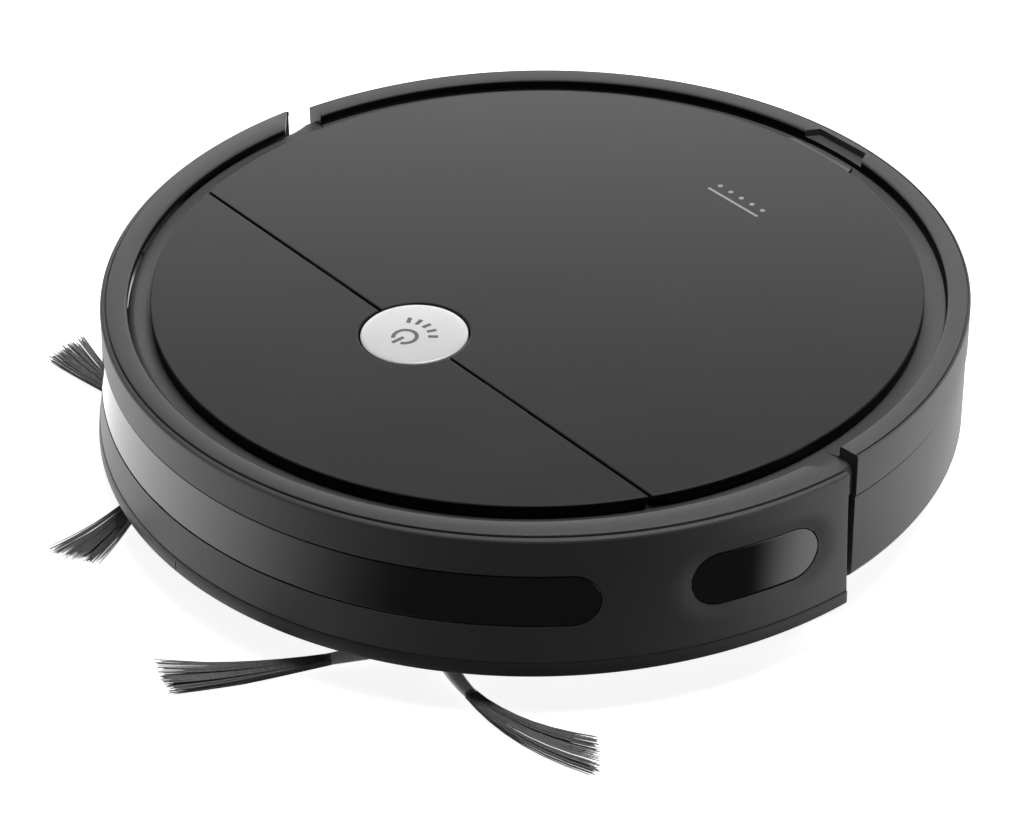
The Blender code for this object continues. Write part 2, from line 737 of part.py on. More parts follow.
def bumper_switches():
    """Micro switches; each plunger goes through the chassis wall and ends where the
    pushed bumper stops."""
    face = switch_face()
    skin = bumper_r(SWITCH_Z, -90 + math.degrees(math.asin(SWITCH_X / BUMPER_TOP_R))) - BUMPER_WALL
    tip = -math.sqrt(skin ** 2 - (SWITCH_X + 1.5) ** 2) + BUMPER_TRAVEL + 2 * GAP
    for side in ("right", "left"):
        case = box(span(side, SWITCH_X - SWITCH_HALF, SWITCH_X + SWITCH_HALF),
                   (face, face + SWITCH_DEPTH), (SWITCH_Z - 6, SWITCH_Z + 6))
        body = piece(f"bumper_switch_{side}", case, INNER)
        plunger = box(span(side, SWITCH_X - 1.5, SWITCH_X + 1.5), (tip, face + 1),
                      (SWITCH_Z - 1.5, SWITCH_Z + 1.5))
        add(body, plunger, label="plunger")


# ------------------------------------------------------- side brushes

def side_brush(side):
    s = wheel_side(side)
    x, y = s * BRUSH_X, BRUSH_Y
    rings = [(5, 4.2), (12, 4.2), (BRUSH_HUB_R, 6.4), (BRUSH_HUB_R, 8.2),
             (BRUSH_SHAFT_R, 9.4), (BRUSH_SHAFT_R, BRUSH_MOTOR_Z[0] - 2)]
    hub = loft([[(x + r * math.cos(t), y + r * math.sin(t), z)
                 for t in (2 * math.pi * i / 24 for i in range(24))] for r, z in rings])
    piece(f"side_brush_hub_{side}", hub, INNER, (x, y, 0))
    outline = []
    for angle in BRUSH_ANGLES[side]:
        for turn, reach in ((-60, 5), (-14, 12), (-TUFT_SPREAD, BRUSH_REACH),
                            (TUFT_SPREAD, BRUSH_REACH), (14, 12)):
            t = math.radians(angle + turn)
            outline.append((x + reach * math.cos(t), y + reach * math.sin(t)))
    piece(f"side_brush_bristles_{side}", prism(outline, 1.4, 3.8), BRISTLE, (x, y, 0))
    low, high = BRUSH_MOTOR_Z
    motor = rod((x, y, low), (x, y, high), MOTOR_R, 20)
    body = piece(f"side_brush_motor_{side}", motor, STEEL)
    cut(body, rod((x, y, low - 1), (x, y, low + 2), 3), label="shaft_hole")


# -------------------------------------------------------- drive wheels

def drive_module(side):
    s = wheel_side(side)
    inner = WHEEL_X - WHEEL_WIDTH / 2
    outer = WHEEL_X + WHEEL_WIDTH / 2
    centre = (0, 0, WHEEL_R)
    rim_r = WHEEL_R - TYRE
    groove = [(rim_r, inner), (WHEEL_R - 1.2, inner), (WHEEL_R, inner + 1.5),
              (WHEEL_R, outer - 1.5), (WHEEL_R - 1.2, outer), (rim_r, outer)]
    tyre = lathe([(r, s * x) for r, x in groove], centre, "X", 36)
    piece(f"drive_tyre_{side}", tyre, RUBBER, (s * WHEEL_X, 0, WHEEL_R))
    hub_r = rim_r - GAP
    disc = rod((s * (inner + 1), 0, WHEEL_R), (s * (outer - 1), 0, WHEEL_R), hub_r, 36)
    hub = piece(f"drive_wheel_{side}", disc, INNER, (s * WHEEL_X, 0, WHEEL_R))
    add(hub, rod((s * (ARM_OUT_X - 9), 0, WHEEL_R), (s * (inner + 3), 0, WHEEL_R), STUB_R),
        label="shaft")
    cut(hub, lathe([(7, s * (outer - 4)), (hub_r - 3, s * (outer - 4)), (hub_r - 3, s * (outer + 2)),
                    (7, s * (outer + 2))], centre, "X", 36), label="dished_face")
    pivot = (ARM_PIVOT_Y, ARM_PIVOT_Z)
    side_view = [*arc_points(PIVOT_PIN_R + 4, 60, 240, 30, pivot), (ARM_PIVOT_Y + 17, WHEEL_R - 12),
                 (10, WHEEL_R - 14), (16, WHEEL_R - 8), (16, WHEEL_R + 9), (8, WHEEL_R + 15)]
    arm = loft([[(s * x, y, z) for y, z in side_view] for x in (ARM_IN_X, ARM_OUT_X)])
    gearbox = piece(f"wheel_gearbox_{side}", arm, INNER, (s * ARM_IN_X, *pivot))
    cut(gearbox, rod((s * (ARM_IN_X - 2), *pivot), (s * (ARM_OUT_X + 2), *pivot), PIVOT_PIN_R + GAP),
        rod((s * (ARM_OUT_X - 10), 0, WHEEL_R), (s * (ARM_OUT_X + 2), 0, WHEEL_R), STUB_R + GAP),
        label="bores")
    motor = (3.0, WHEEL_R + MOTOR_RISE)
    add(gearbox, rod((s * (ARM_IN_X - MOTOR_LENGTH), *motor), (s * (ARM_IN_X + 2), *motor), MOTOR_R, 20),
        label="motor_can")
    (start, near), (_, end) = PIVOT_EARS
    pin = rod((s * (start - 1.5), *pivot), (s * (end + 1), *pivot), PIVOT_PIN_R)
    piece(f"arm_pivot_pin_{side}", pin, STEEL, (s * ARM_IN_X, *pivot))
    spring = coil(s * (near + 0.7), s * (ARM_IN_X - 0.8), pivot, 2 * PIVOT_PIN_R, 0.5, 3)
    piece(f"arm_spring_{side}", spring, STEEL)


def coil(start, end, pivot, radius, wire, turns):
    """Torsion spring wound about a pivot that runs along X."""
    sides, per_turn = 5, 10
    loops = []
    total = turns * per_turn
    for i in range(total + 1):
        t = 2 * math.pi * i / per_turn
        x = start + (end - start) * i / total
        out = Vector((0, math.cos(t), math.sin(t)))
        middle = Vector((x, *pivot)) + out * radius
        loops.append([tuple(middle + wire * (out * math.cos(u) + Vector((1, 0, 0)) * math.sin(u)))
                      for u in (2 * math.pi * j / sides for j in range(sides))])
    return loft(loops)


# -------------------------------------------------------------- caster

def caster():
    wheel_y = CASTER_Y + CASTER_TRAIL
    centre = (0, wheel_y, CASTER_R)
    half = CASTER_WIDTH / 2
    plate = prism(arc_points(FORK_R, 0, 345, 15, (0, CASTER_Y)), 22, 24.5)
    fork = piece("caster_fork", plate, INNER, (0, CASTER_Y, 0))
    cheeks = [loft([[(s * x, y, z) for y, z in ((wheel_y - 6, 23), (wheel_y + 6, 23),
                                                 (wheel_y + 4, 6.5), (wheel_y - 4, 6.5))]
                    for x in (half + 0.7, half + 3.2)]) for s in (1, -1)]
    add(fork, *cheeks, rod((0, CASTER_Y, 24), (0, CASTER_Y, 34), CASTER_POST_R),
        label="cheeks_and_post")
    cut(fork, rod((-half - 10, wheel_y, CASTER_R), (half + 10, wheel_y, CASTER_R), CASTER_AXLE_R + GAP, 12),
        label="axle_hole")
    bore = 2 * CASTER_AXLE_R
    crown = [(bore, -half), (CASTER_R - 1, -half), (CASTER_R, -half + 1.5), (CASTER_R, half - 1.5),
             (CASTER_R - 1, half), (bore, half)]
    piece("caster_wheel", lathe(crown, centre, "X", 24), RUBBER, centre)
    axle = rod((-half - 3, wheel_y, CASTER_R), (half + 3, wheel_y, CASTER_R), CASTER_AXLE_R, 12)
    piece("caster_axle", axle, STEEL, centre)


# -------------------------------------------------------- main roller

def roller():
    y, z = ROLLER_Y, ROLLER_Z
    centre = (0, y, z)
    core = piece("roller_core", rod((-ROLLER_HALF - 2, y, z), (ROLLER_HALF + 2, y, z), ROLLER_CORE_R, 16),
                 INNER, centre)
    add(core, rod((-ROLLER_HALF - 13, y, z), (-ROLLER_HALF, y, z), DRIVE_SHAFT_R, 6),
        rod((ROLLER_HALF, y, z), (ROLLER_HALF + 7, y, z), 3.0), label="drive_ends")
    fins, stations, twist = 6, 7, 60.0
    loops = []
    for i in range(stations + 1):
        x = -ROLLER_HALF + 2 * (ROLLER_HALF - 1) * i / stations + 1
        lead = math.radians(twist * i / stations)
        loop = []
        for fin in range(fins):
            for turn, r in ((-24, 10), (-5, 11), (-4, ROLLER_R), (4, ROLLER_R), (5, 11)):
                t = lead + 2 * math.pi * fin / fins + math.radians(turn)
                loop.append((x, y + r * math.cos(t), z + r * math.sin(t)))
        loops.append(loop)
    bristles = piece("roller_bristles", loft(loops), BRISTLE, centre)
    cut(bristles, rod((-ROLLER_HALF - 5, y, z), (ROLLER_HALF + 5, y, z), ROLLER_CORE_R + GAP, 16),
        label="core_bore")


def roller_chamber():
    """Tunnel over the roller: an arch with end plates, open below and to the bin."""
    y, z = ROLLER_Y, ROLLER_Z
    room = ROLLER_R + ROLLER_ROOM
    half = ROLLER_HALF + 7
    low = BASE_Z + WALL + GAP
    skin = room + COVER_WALL
    outer = [(y - skin, low), *[(y - skin * math.cos(t), z + skin * math.sin(t))
                                for t in (math.pi * i / 12 for i in range(13))], (y + skin, low)]
    body = piece("roller_chamber", loft([[(x, py, pz) for py, pz in outer] for x in (-half, half)]), INNER)
    inner = [(y - room, low - 5), *[(y - room * math.cos(t), z + room * math.sin(t))
                                    for t in (math.pi * i / 12 for i in range(13))], (y + room, low - 5)]
    cavity = half - COVER_WALL
    cut(body, loft([[(x, py, pz) for py, pz in inner] for x in (-cavity, cavity)]), label="tunnel")
    cut(body, box((-MOUTH_HALF_X, MOUTH_HALF_X), (y + 5, y + skin + 5), MOUTH_Z),
        rod((-half - 5, y, z), (-cavity + 1, y, z), DRIVE_SHAFT_R + 0.8),
        rod((cavity - 1, y, z), (half + 5, y, z), DRIVE_SHAFT_R + GAP), label="mouth_and_bores")


def roller_guard():
    x, y = ROLLER_HALF + 10, MOUTH_HALF_Y + 5
    low, high = BASE_Z - 2.4, BASE_Z - GAP
    body = piece("roller_guard", box((-x, x), (ROLLER_Y - y, ROLLER_Y + y), (low, high)), INNER)
    cut(body, box((-ROLLER_HALF - 1, ROLLER_HALF + 1), (ROLLER_Y - MOUTH_HALF_Y, ROLLER_Y + MOUTH_HALF_Y),
                  (low - 5, high + 5)), label="mouth")
    wheel = [box(span(side, ARM_IN_X - 2, WHEEL_X), (-60, WHEEL_R + 5.5), (0, 20))
             for side in ("right", "left")]
    cut(body, *wheel, label="wheel_clearance")


def roller_drive():
    near, far = ROLLER_HALF + 7.5, DRIVE_OUT_X
    y, z = ROLLER_Y, ROLLER_Z
    case = box((-far, -near), (y - 16, y + 30), (BASE_Z + WALL + 0.7, 40))
    body = piece("roller_gearbox", case, INNER)
    cut(body, rod((-near - 6, y, z), (-near + 5, y, z), DRIVE_SHAFT_R + GAP), label="bore")
    motor = rod((-far - GAP, y + 17, 27), (-far - MOTOR_LENGTH, y + 17, 27), MOTOR_R, 20)
    piece("roller_motor", motor, STEEL)


# ------------------------------------------------------------ dust bin

def dust_bin():
    outline = bin_outline(0)
    body = piece("dust_bin", prism(outline, BIN_Z, BIN_TOP_Z), SMOKE)
    cut(body, prism(bin_outline(-BIN_WALL), BIN_Z + BIN_WALL, BIN_TOP_Z + 5), label="hollow")
    fan_side = box((BIN_HALF - 5, BIN_HALF + 5), (FAN_Y - 6, FAN_Y + 22), (34, 54))
    mouth = box((-MOUTH_HALF_X, MOUTH_HALF_X), (BIN_FRONT_Y - 5, BIN_FRONT_Y + 5), MOUTH_Z)
    cut(body, mouth, fan_side, label="mouths")
    top = BIN_TOP_Z + GAP
    cover = piece("bin_cover", prism(bin_outline(-0.2), top, DECK_Z + 0.3), INNER)
    cut(cover, box((-34, 34), (84, 112), (DECK_Z - 2.4, DECK_Z + 5)), label="finger_recess")
    add(cover, box((-34.5, 34.5), (95, 101), (DECK_Z - 2.6, DECK_Z + 0.3)), label="handle_bar")
    x = BIN_HALF - BIN_WALL - GAP
    piece("bin_filter", box((x - 9, x), (FAN_Y - 8, FAN_Y + 24),
                            (BIN_Z + BIN_WALL + 12, BIN_TOP_Z - 4.5)), FILTER)


# ----------------------------------------------------------------- fan

def fan():
    x, y = FAN_X, FAN_Y
    low = FAN_LOW_Z
    skin = COVER_WALL
    centre = (x, y, 0)
    case = piece("fan_housing", rod((x, y, low), (x, y, FAN_TOP_Z), FAN_R, 30), INNER)
    add(case, rod((x, y, BASE_Z + WALL + GAP), (x, y, low + 1), 9, 16), label="foot")
    cut(case, rod((x, y, low + skin), (x, y, FAN_TOP_Z + 5), FAN_R - skin, 30), label="hollow")
    outlet = loft([[(x - 6, y + 10, z), (x + 10, y + 10, z), (x - 2, y + 40, z), (x - 18, y + 40, z)]
                   for z in (low + 8, FAN_TOP_Z - 4)])
    cut(case, outlet, label="outlet")
    piece("fan_cover", lathe([(11, FAN_TOP_Z + GAP), (FAN_R, FAN_TOP_Z + GAP), (FAN_R, FAN_TOP_Z + 2.3),
                              (13, FAN_TOP_Z + 2.3), (11, FAN_TOP_Z + 4)], centre, "Z", 30), INNER)
    plate_z = low + 14
    motor = piece("fan_motor", rod((x, y, low + skin + GAP), (x, y, plate_z - 1), 13, 24), STEEL)
    cut(motor, rod((x, y, plate_z - 7), (x, y, plate_z + 4), 2.0, 12), label="shaft_bore")
    blade_r = FAN_R - skin - 1.5
    plate = piece("fan_impeller", rod((x, y, plate_z), (x, y, plate_z + 2), blade_r, 24), PALE, (x, y, plate_z))
    blades = []
    for i in range(9):
        start, end = (math.radians(40 * i + t) for t in (0, 38))
        points = [(x + r * math.cos(t), y + r * math.sin(t)) for r, t in
                  ((7, start), (7, start + 0.2), (blade_r - 0.5, end + 0.07), (blade_r - 0.5, end))]
        blades.append(prism(points, plate_z + 1.5, FAN_TOP_Z - 3))
    add(plate, *blades, label="blades")
    add(plate, rod((x, y, plate_z - 6), (x, y, FAN_TOP_Z - 4), 1.6, 12), label="shaft")


# ---------------------------------------------------------- electronics

def electronics():
    x = BATTERY_X
    piece("battery_pack", box((-x, x), BATTERY_Y, BATTERY_Z), WRAP)
    edge = BATTERY_ROOM - COVER_ROOM
    cover = piece("battery_cover", box((-x - edge, x + edge), (BATTERY_Y[0] - edge, BATTERY_Y[1] + edge),
                                       (BASE_Z, BASE_Z + WALL)), SHELL)
    cut(cover, box((-9, 9), (BATTERY_Y[0] + 4, BATTERY_Y[0] + 12), (BASE_Z - 2, BASE_Z + 1)),
        label="finger_groove")
    board = [(-62, -104), (62, -104), (72, -84), (72, -10), (-72, -10), (-72, -84)]
    piece("main_board", prism(board, BOARD_Z, BOARD_Z + BOARD_THICK), BOARD)
    low = BOARD_Z + BOARD_THICK + GAP
    switch = piece("button_switch", box((-4, 4), (BUTTON_Y - 4, BUTTON_Y + 4), (low, low + 3)), INNER)
    add(switch, rod((0, BUTTON_Y, low + 2), (0, BUTTON_Y, SWITCH_TOP_Z), 2, 12), label="plunger")
    for i, (cx, cy) in enumerate(CLIFF_PLACES, 1):
        piece(f"cliff_sensor_{i}", base_box(cx, cy, SENSOR_SIZE, 0, BASE_Z, BASE_Z + 8), WINDOW)
    for side in ("right", "left"):
        x = wheel_side(side) * CONTACT_X
        piece(f"charge_contact_{side}",
              base_box(x, CONTACT_Y, CONTACT_SIZE, 0, BASE_Z - 0.8, BASE_Z + 2), STEEL)


def rear_fittings():
    start, end, low, high = GRILLE
    slack = 0.25
    frame = sweep([(a, [(BODY_R - WALL - 2, low + GAP), (BODY_R - 0.6, low + GAP),
                        (BODY_R - 0.6, high - GAP), (BODY_R - WALL - 2, high - GAP)])
                   for a in steps(start + slack, end - slack)])
    grille = piece("exhaust_grille", frame, INNER)
    slots = []
    for angle in steps(start + 2, end - 2, 2.0):
        slots.append(wall_block(angle, 1.4, low + 3, high - 3, BODY_R - 11, BODY_R + 6))
    cut(grille, *slots, label="slots")
    out_r = BODY_R - SEAM_STEP
    half, tall = ROCKER_HALF
    socket = wall_block(ROCKER_ANGLE, half, PORT_Z - tall, PORT_Z + tall, out_r - 10, out_r)
    seat = piece("power_switch_body", socket, INNER)
    half, tall = half - 2, tall - 2
    cut(seat, wall_block(ROCKER_ANGLE, half, PORT_Z - tall, PORT_Z + tall, out_r - 8, out_r + 5),
        label="rocker_pocket")
    out = Vector(at(1, ROCKER_ANGLE, 0))
    along = Vector((-out.y, out.x, 0))
    pivot = out * (out_r - 3) + Vector((0, 0, PORT_Z))
    half, tall = half - 0.9, tall - 0.6
    face = [(-half, 1.2), (0, 2.0), (half, 4.0), (half, -1.5), (-half, -1.5)]
    rocker = loft([[tuple(pivot + along * w + out * d + Vector((0, 0, h))) for w, d in face]
                   for h in (-tall, tall)])
    piece("power_rocker", rocker, RUBBER, tuple(pivot))
    jack = rod(at(out_r - 12, JACK_ANGLE, PORT_Z), at(out_r, JACK_ANGLE, PORT_Z), JACK_R, 20)
    body = piece("power_jack", jack, INNER)
    cut(body, rod(at(out_r - 9, JACK_ANGLE, PORT_Z), at(out_r + 3, JACK_ANGLE, PORT_Z), JACK_R - 1.5, 16),
        label="socket")


# ---------------------------------------------------------------- build

lower_chassis()
upper_housing()
rear_lid()
hinge_pins()
front_cover()
main_button()
bumper()
bumper_windows()
bumper_strip()
ir_sensor_board()
bumper_switches()
for which in ("right", "left"):
    side_brush(which)
    drive_module(which)
caster()
roller()
roller_chamber()
roller_guard()
roller_drive()
dust_bin()
fan()
electronics()
rear_fittings()
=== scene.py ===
"""Looks of the robot vacuum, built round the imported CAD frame.

Lengths are millimetres about the robot's own vertical axis (front is -Y, floor is z = 0),
and piece() turns them into metres in the frame's coordinates. Angles are in degrees,
counter-clockwise from +X, so the front is -90.
"""
import json
import math
import random

import bmesh
import bpy
from mathutils import Matrix, Vector


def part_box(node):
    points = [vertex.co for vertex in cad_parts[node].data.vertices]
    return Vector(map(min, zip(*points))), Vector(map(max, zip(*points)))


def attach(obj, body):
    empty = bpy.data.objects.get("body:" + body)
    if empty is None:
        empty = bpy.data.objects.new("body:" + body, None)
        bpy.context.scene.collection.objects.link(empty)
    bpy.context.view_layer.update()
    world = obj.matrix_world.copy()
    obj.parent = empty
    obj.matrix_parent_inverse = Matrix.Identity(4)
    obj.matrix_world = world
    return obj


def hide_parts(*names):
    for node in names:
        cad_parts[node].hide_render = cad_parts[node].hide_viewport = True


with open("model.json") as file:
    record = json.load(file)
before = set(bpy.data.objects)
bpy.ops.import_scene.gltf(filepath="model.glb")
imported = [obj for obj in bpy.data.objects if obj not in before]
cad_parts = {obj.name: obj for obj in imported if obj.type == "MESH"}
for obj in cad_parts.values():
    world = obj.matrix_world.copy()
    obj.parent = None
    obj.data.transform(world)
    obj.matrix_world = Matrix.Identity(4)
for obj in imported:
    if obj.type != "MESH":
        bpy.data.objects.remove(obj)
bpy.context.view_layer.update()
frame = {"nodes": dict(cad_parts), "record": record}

MM = 0.001
GAP = 0.3
SIDES = (("right", 1), ("left", -1))
wheel_low, wheel_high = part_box("drive_tyre_right")
AXIS = Vector((0.0, (wheel_low.y + wheel_high.y) / 2, 0.0))     # the wheels' axle crosses it


# ------------------------------------------------------ sizes, from the frame

def corners(node):
    """A CAD node's corners in millimetres about the robot's axis."""
    return [(v.co - AXIS) / MM for v in frame["nodes"][node].data.vertices]


def reach(node, z=None):
    """Largest distance of a node from the axis, over all heights or at one."""
    return max(math.hypot(c.x, c.y) for c in corners(node) if z is None or abs(c.z - z) < 0.05)


def span(node, axis):
    values = [c[axis] for c in corners(node)]
    return min(values), max(values)


TOP_Z = span("bumper", 2)[1]
BODY_R = reach("upper_housing")
RIM_INNER_R = min(math.hypot(c.x, c.y) for c in corners("bumper") if c.z > TOP_Z - 1)
LID_R = reach("front_cover")
LID_Z = span("rear_lid", 2)[1]
LID_LOW_Z = span("rear_lid", 2)[0]
SEAM_Z = span("lower_chassis", 2)[1]
DECK_Z = LID_Z - 5.6
BASE_Z = span("lower_chassis", 2)[0]
BASE_R = reach("lower_chassis", BASE_Z)
CHASSIS_REAR_Z = min(c.z for c in corners("lower_chassis") if math.hypot(c.x, c.y) > BODY_R - 0.6)
WALL = 2.5
BUMPER_TOP_R = BODY_R + 1.0
BUMPER_LOW_R = reach("bumper_strip")
BUMPER_Z = span("bumper_strip", 2)[0]
SKIRT_Z = span("bumper_strip", 2)[1]
BUMPER_END_Y = span("bumper", 1)[1]
FRONT_WALL_R = 154.7
SPLIT_Y = (span("rear_lid", 1)[0] + span("front_cover", 1)[1]) / 2 + 0.3
BUTTON_R = (span("main_button", 0)[1] - span("main_button", 0)[0]) / 2
BUTTON_Y = sum(span("main_button", 1)) / 2
HINGE_Y = sum(span("lid_hinge_pin_right", 1)) / 2
HINGE_Z = sum(span("lid_hinge_pin_right", 2)) / 2
BUMPER_TRAVEL = 4.0
BUMPER_SWELL = 3.4           # the upper edge runs this much further out at the sides than in front
FLANGE_CUT_Y = -11.0         # the bumper's rim is cut back at its ends, to here at its inner edge
LARGEST_CURVED_FACE = 12     # a face with more corners is flat, and is shaded flat
REAR_END_Y = 11.5
NOTCH_HALF = 16.0
IR_WINDOW = (-148.3, -31.7, 37.0, 56.7)
SIDE_WINDOW = (-20.6, -3.4, 36.5, 57.0)
BRUSH_X = sum(span("side_brush_hub_right", 0)) / 2
BRUSH_Y = sum(span("side_brush_hub_right", 1)) / 2
WHEEL_R = span("drive_tyre_right", 2)[1] / 2


# ------------------------------------------------------------- mesh helpers

def at(radius, angle, z):
    turn = math.radians(angle)
    return (radius * math.cos(turn), radius * math.sin(turn), z)


def steps(start, end, step):
    count = max(1, math.ceil(abs(end - start) / step - 1e-6))
    return [start + (end - start) * i / count for i in range(count + 1)]


def smooth(t):
    t = max(0.0, min(1.0, t))
    return t * t * (3 - 2 * t)


def join_meshes(*solids):
    points, faces = [], []
    for solid_points, solid_faces in solids:
        first = len(points)
        points += solid_points
        faces += [[first + i for i in face] for face in solid_faces]
    return points, faces


def loft(loops, closed=False, caps=True):
    """Skin over equal loops of points, capped at both ends unless it closes on itself."""
    size = len(loops[0])
    points = [tuple(p) for loop in loops for p in loop]
    faces = []
    last = len(loops) if closed else len(loops) - 1
    for i in range(last):
        here, there = i * size, (i + 1) % len(loops) * size
        faces += [[here + j, here + (j + 1) % size, there + (j + 1) % size, there + j] for j in range(size)]
    if caps and not closed:
        faces.append(list(range(size)))
        faces.append([(len(loops) - 1) * size + j for j in range(size)])
    return points, faces


def sweep(stations, closed=False):
    return loft([[at(r, a, z) for r, z in outline] for a, outline in stations], closed)


def dish(stations):
    """Round body from open profiles; the first and last rings get flat caps."""
    count = len(stations[0][1])
    return loft([[at(outline[i][0], a, outline[i][1]) for a, outline in stations] for i in range(count)])


def prism(outline, low, high):
    return loft([[(x, y, low) for x, y in outline], [(x, y, high) for x, y in outline]])


def box(x, y, z):
    return prism([(x[0], y[0]), (x[1], y[0]), (x[1], y[1]), (x[0], y[1])], *z)


def rod(start, end, radius, sides=24, end_radius=None):
    start, end = Vector(start), Vector(end)
    along = (end - start).normalized()
    across = along.orthogonal().normalized()
    other = along.cross(across)
    loops = []
    for centre, r in ((start, radius), (end, radius if end_radius is None else end_radius)):
        loops.append([centre + r * (across * math.cos(t) + other * math.sin(t))
                      for t in (2 * math.pi * i / sides for i in range(sides))])
    return loft(loops)


def turned(profile, centre, axis="Z", sides=64, whole=True):
    """Outline of (r, height) turned about an axis; not whole means an open profile with capped ends."""
    loops = []
    for i in range(sides):
        turn = 2 * math.pi * i / sides
        loop = []
        for r, h in profile:
            a, b = r * math.cos(turn), r * math.sin(turn)
            offset = (a, b, h) if axis == "Z" else (h, a, b)
            loop.append(tuple(c + o for c, o in zip(centre, offset)))
        loops.append(loop)
    if whole:
        return loft(loops, closed=True)
    return loft([[loop[j] for loop in loops] for j in range(len(profile))])


def rounded(outline, bits=3):
    """Outline with each corner (x, y, radius) turned into an arc of equal pieces."""
    result = []
    count = len(outline)
    for i, (x, y, radius) in enumerate(outline):
        here = Vector((x, y))
        before = Vector(outline[i - 1][:2]) - here
        after = Vector(outline[(i + 1) % count][:2]) - here
        if radius <= 0:
            result.append((x, y))
            continue
        radius_in = min(radius, 0.45 * before.length, 0.45 * after.length)
        a, b = before.normalized(), after.normalized()
        start, end = here + a * radius_in, here + b * radius_in
        for j in range(bits + 1):
            t = j / bits
            point = start * (1 - t) ** 2 + here * 2 * t * (1 - t) + end * t * t
            result.append((point.x, point.y))
    return result


def arc_points(radius, start, end, step, centre=(0.0, 0.0)):
    return [(centre[0] + radius * math.cos(math.radians(a)),
             centre[1] + radius * math.sin(math.radians(a))) for a in steps(start, end, step)]


def inset(outline, amount):
    """Closed outline, counter-clockwise, moved inwards by an even amount."""
    result = []
    count = len(outline)
    for i in range(count):
        a, b, c = (Vector(outline[j % count]) for j in (i - 1, i, i + 1))
        one, two = (b - a).normalized(), (c - b).normalized()
        n1, n2 = Vector((-one.y, one.x)), Vector((-two.y, two.x))
        bend = n1 + n2
        scale = 2 / max(0.35, bend.length_squared)
        moved = b + bend * (amount * scale)
        result.append((moved.x, moved.y))
    return result


def plate(outline, low, high, edge=0.5, bits=4):
    """Flat plate whose top edge is rounded."""
    loops = [[(x, y, low) for x, y in outline]]
    for i in range(bits + 1):
        turn = math.pi / 2 * i / bits
        loop = inset(outline, edge * (1 - math.cos(turn))) if i else outline
        loops.append([(x, y, high - edge + edge * math.sin(turn)) for x, y in loop])
    return loft(loops)


def mesh_of(name, solid):
    mesh = bpy.data.meshes.new(name)
    bm = bmesh.new()
    made = [bm.verts.new(AXIS + Vector(p) * MM) for p in solid[0]]
    for face in solid[1]:
        bm.faces.new([made[i] for i in face])
    bmesh.ops.remove_doubles(bm, verts=bm.verts, dist=1e-7)
    bmesh.ops.recalc_face_normals(bm, faces=bm.faces)
    bm.to_mesh(mesh)
    bm.free()
    return mesh


def piece(name, solid, finish, body, replaced=(), sharp=32):
    made = bpy.data.objects.new(name, mesh_of(name, solid))
    bpy.context.scene.collection.objects.link(made)
    made.data.materials.append(finish)
    soften(made, sharp)
    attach(made, body)
    if replaced:
        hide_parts(*replaced)
    return made


def soften(made, sharp=32):
    made.data.shade_smooth()
    made.data.set_sharp_from_angle(angle=math.radians(sharp))
    for face in made.data.polygons:
        if len(face.vertices) > LARGEST_CURVED_FACE:
            face.use_smooth = False


def record_slot(node):
    for row in frame["record"]["subparts"]:
        if row["node"] == node:
            return row["material_slot"]
    return None


def shade(made, finish, test):
    """Give the faces that pass the test, by their centre in millimetres, a second material; here it is always
    the painted shade of recesses.
    """
    made.data.materials.append(finish)
    for face in made.data.polygons:
        centre = (face.center - AXIS) / MM
        if test(centre, math.hypot(centre.x, centre.y)):
            face.material_index = 1


def carve(made, operation, *solids, sharp=32):
    """Cut solids from a piece, or add them, and keep the result as its mesh."""
    tool = bpy.data.objects.new(made.name + ".tool", mesh_of("tool", join_meshes(*solids)))
    bpy.context.scene.collection.objects.link(tool)
    boolean = made.modifiers.new("boolean", "BOOLEAN")
    boolean.operation = operation
    boolean.solver = "EXACT"
    boolean.object = tool
    bpy.context.view_layer.update()
    seen = made.evaluated_get(bpy.context.evaluated_depsgraph_get())
    result = bpy.data.meshes.new_from_object(seen)
    made.modifiers.clear()
    made.data = result
    bpy.data.objects.remove(tool)
    soften(made, sharp)


# ---------------------------------------------------------------- materials

def plastic(name, colour, roughness, grain=0.0, grain_size=0.4, mottle=0.06, **sockets):
    """Moulded plastic: slight colour mottle, uneven gloss and a fine surface grain."""
    made = bpy.data.materials.new(name)
    made.use_nodes = True
    tree = made.node_tree
    shader = tree.nodes["Principled BSDF"]
    place = tree.nodes.new("ShaderNodeTexCoord")
    cloud = noise(tree, place, 22.0, 4.0)
    fine = noise(tree, place, 1000.0 / grain_size, 2.0)
    tint = ramp(tree, cloud, [c * (1 - mottle) for c in colour], [c * (1 + mottle) for c in colour])
    speck = tree.nodes.new("ShaderNodeMix")
    speck.data_type = "RGBA"
    speck.blend_type = "MULTIPLY"
    speck.inputs["Factor"].default_value = 0.35
    tree.links.new(tint.outputs["Color"], speck.inputs["A"])
    grey = ramp(tree, fine, (0.7, 0.7, 0.7), (1.3, 1.3, 1.3), 0.35, 0.65)
    tree.links.new(grey.outputs["Color"], speck.inputs["B"])
    tree.links.new(speck.outputs["Result"], shader.inputs["Base Color"])
    gloss = tree.nodes.new("ShaderNodeMapRange")
    gloss.inputs["To Min"].default_value = roughness * 0.92
    gloss.inputs["To Max"].default_value = min(1.0, roughness * 1.08)
    tree.links.new(cloud.outputs["Fac"], gloss.inputs["Value"])
    tree.links.new(gloss.outputs["Result"], shader.inputs["Roughness"])
    if grain:
        bump = tree.nodes.new("ShaderNodeBump")
        bump.inputs["Strength"].default_value = grain
        bump.inputs["Distance"].default_value = 0.0001
        tree.links.new(fine.outputs["Fac"], bump.inputs["Height"])
        tree.links.new(bump.outputs["Normal"], shader.inputs["Normal"])
    for socket, value in sockets.items():
        shader.inputs[socket.replace("_", " ")].default_value = value
    return made


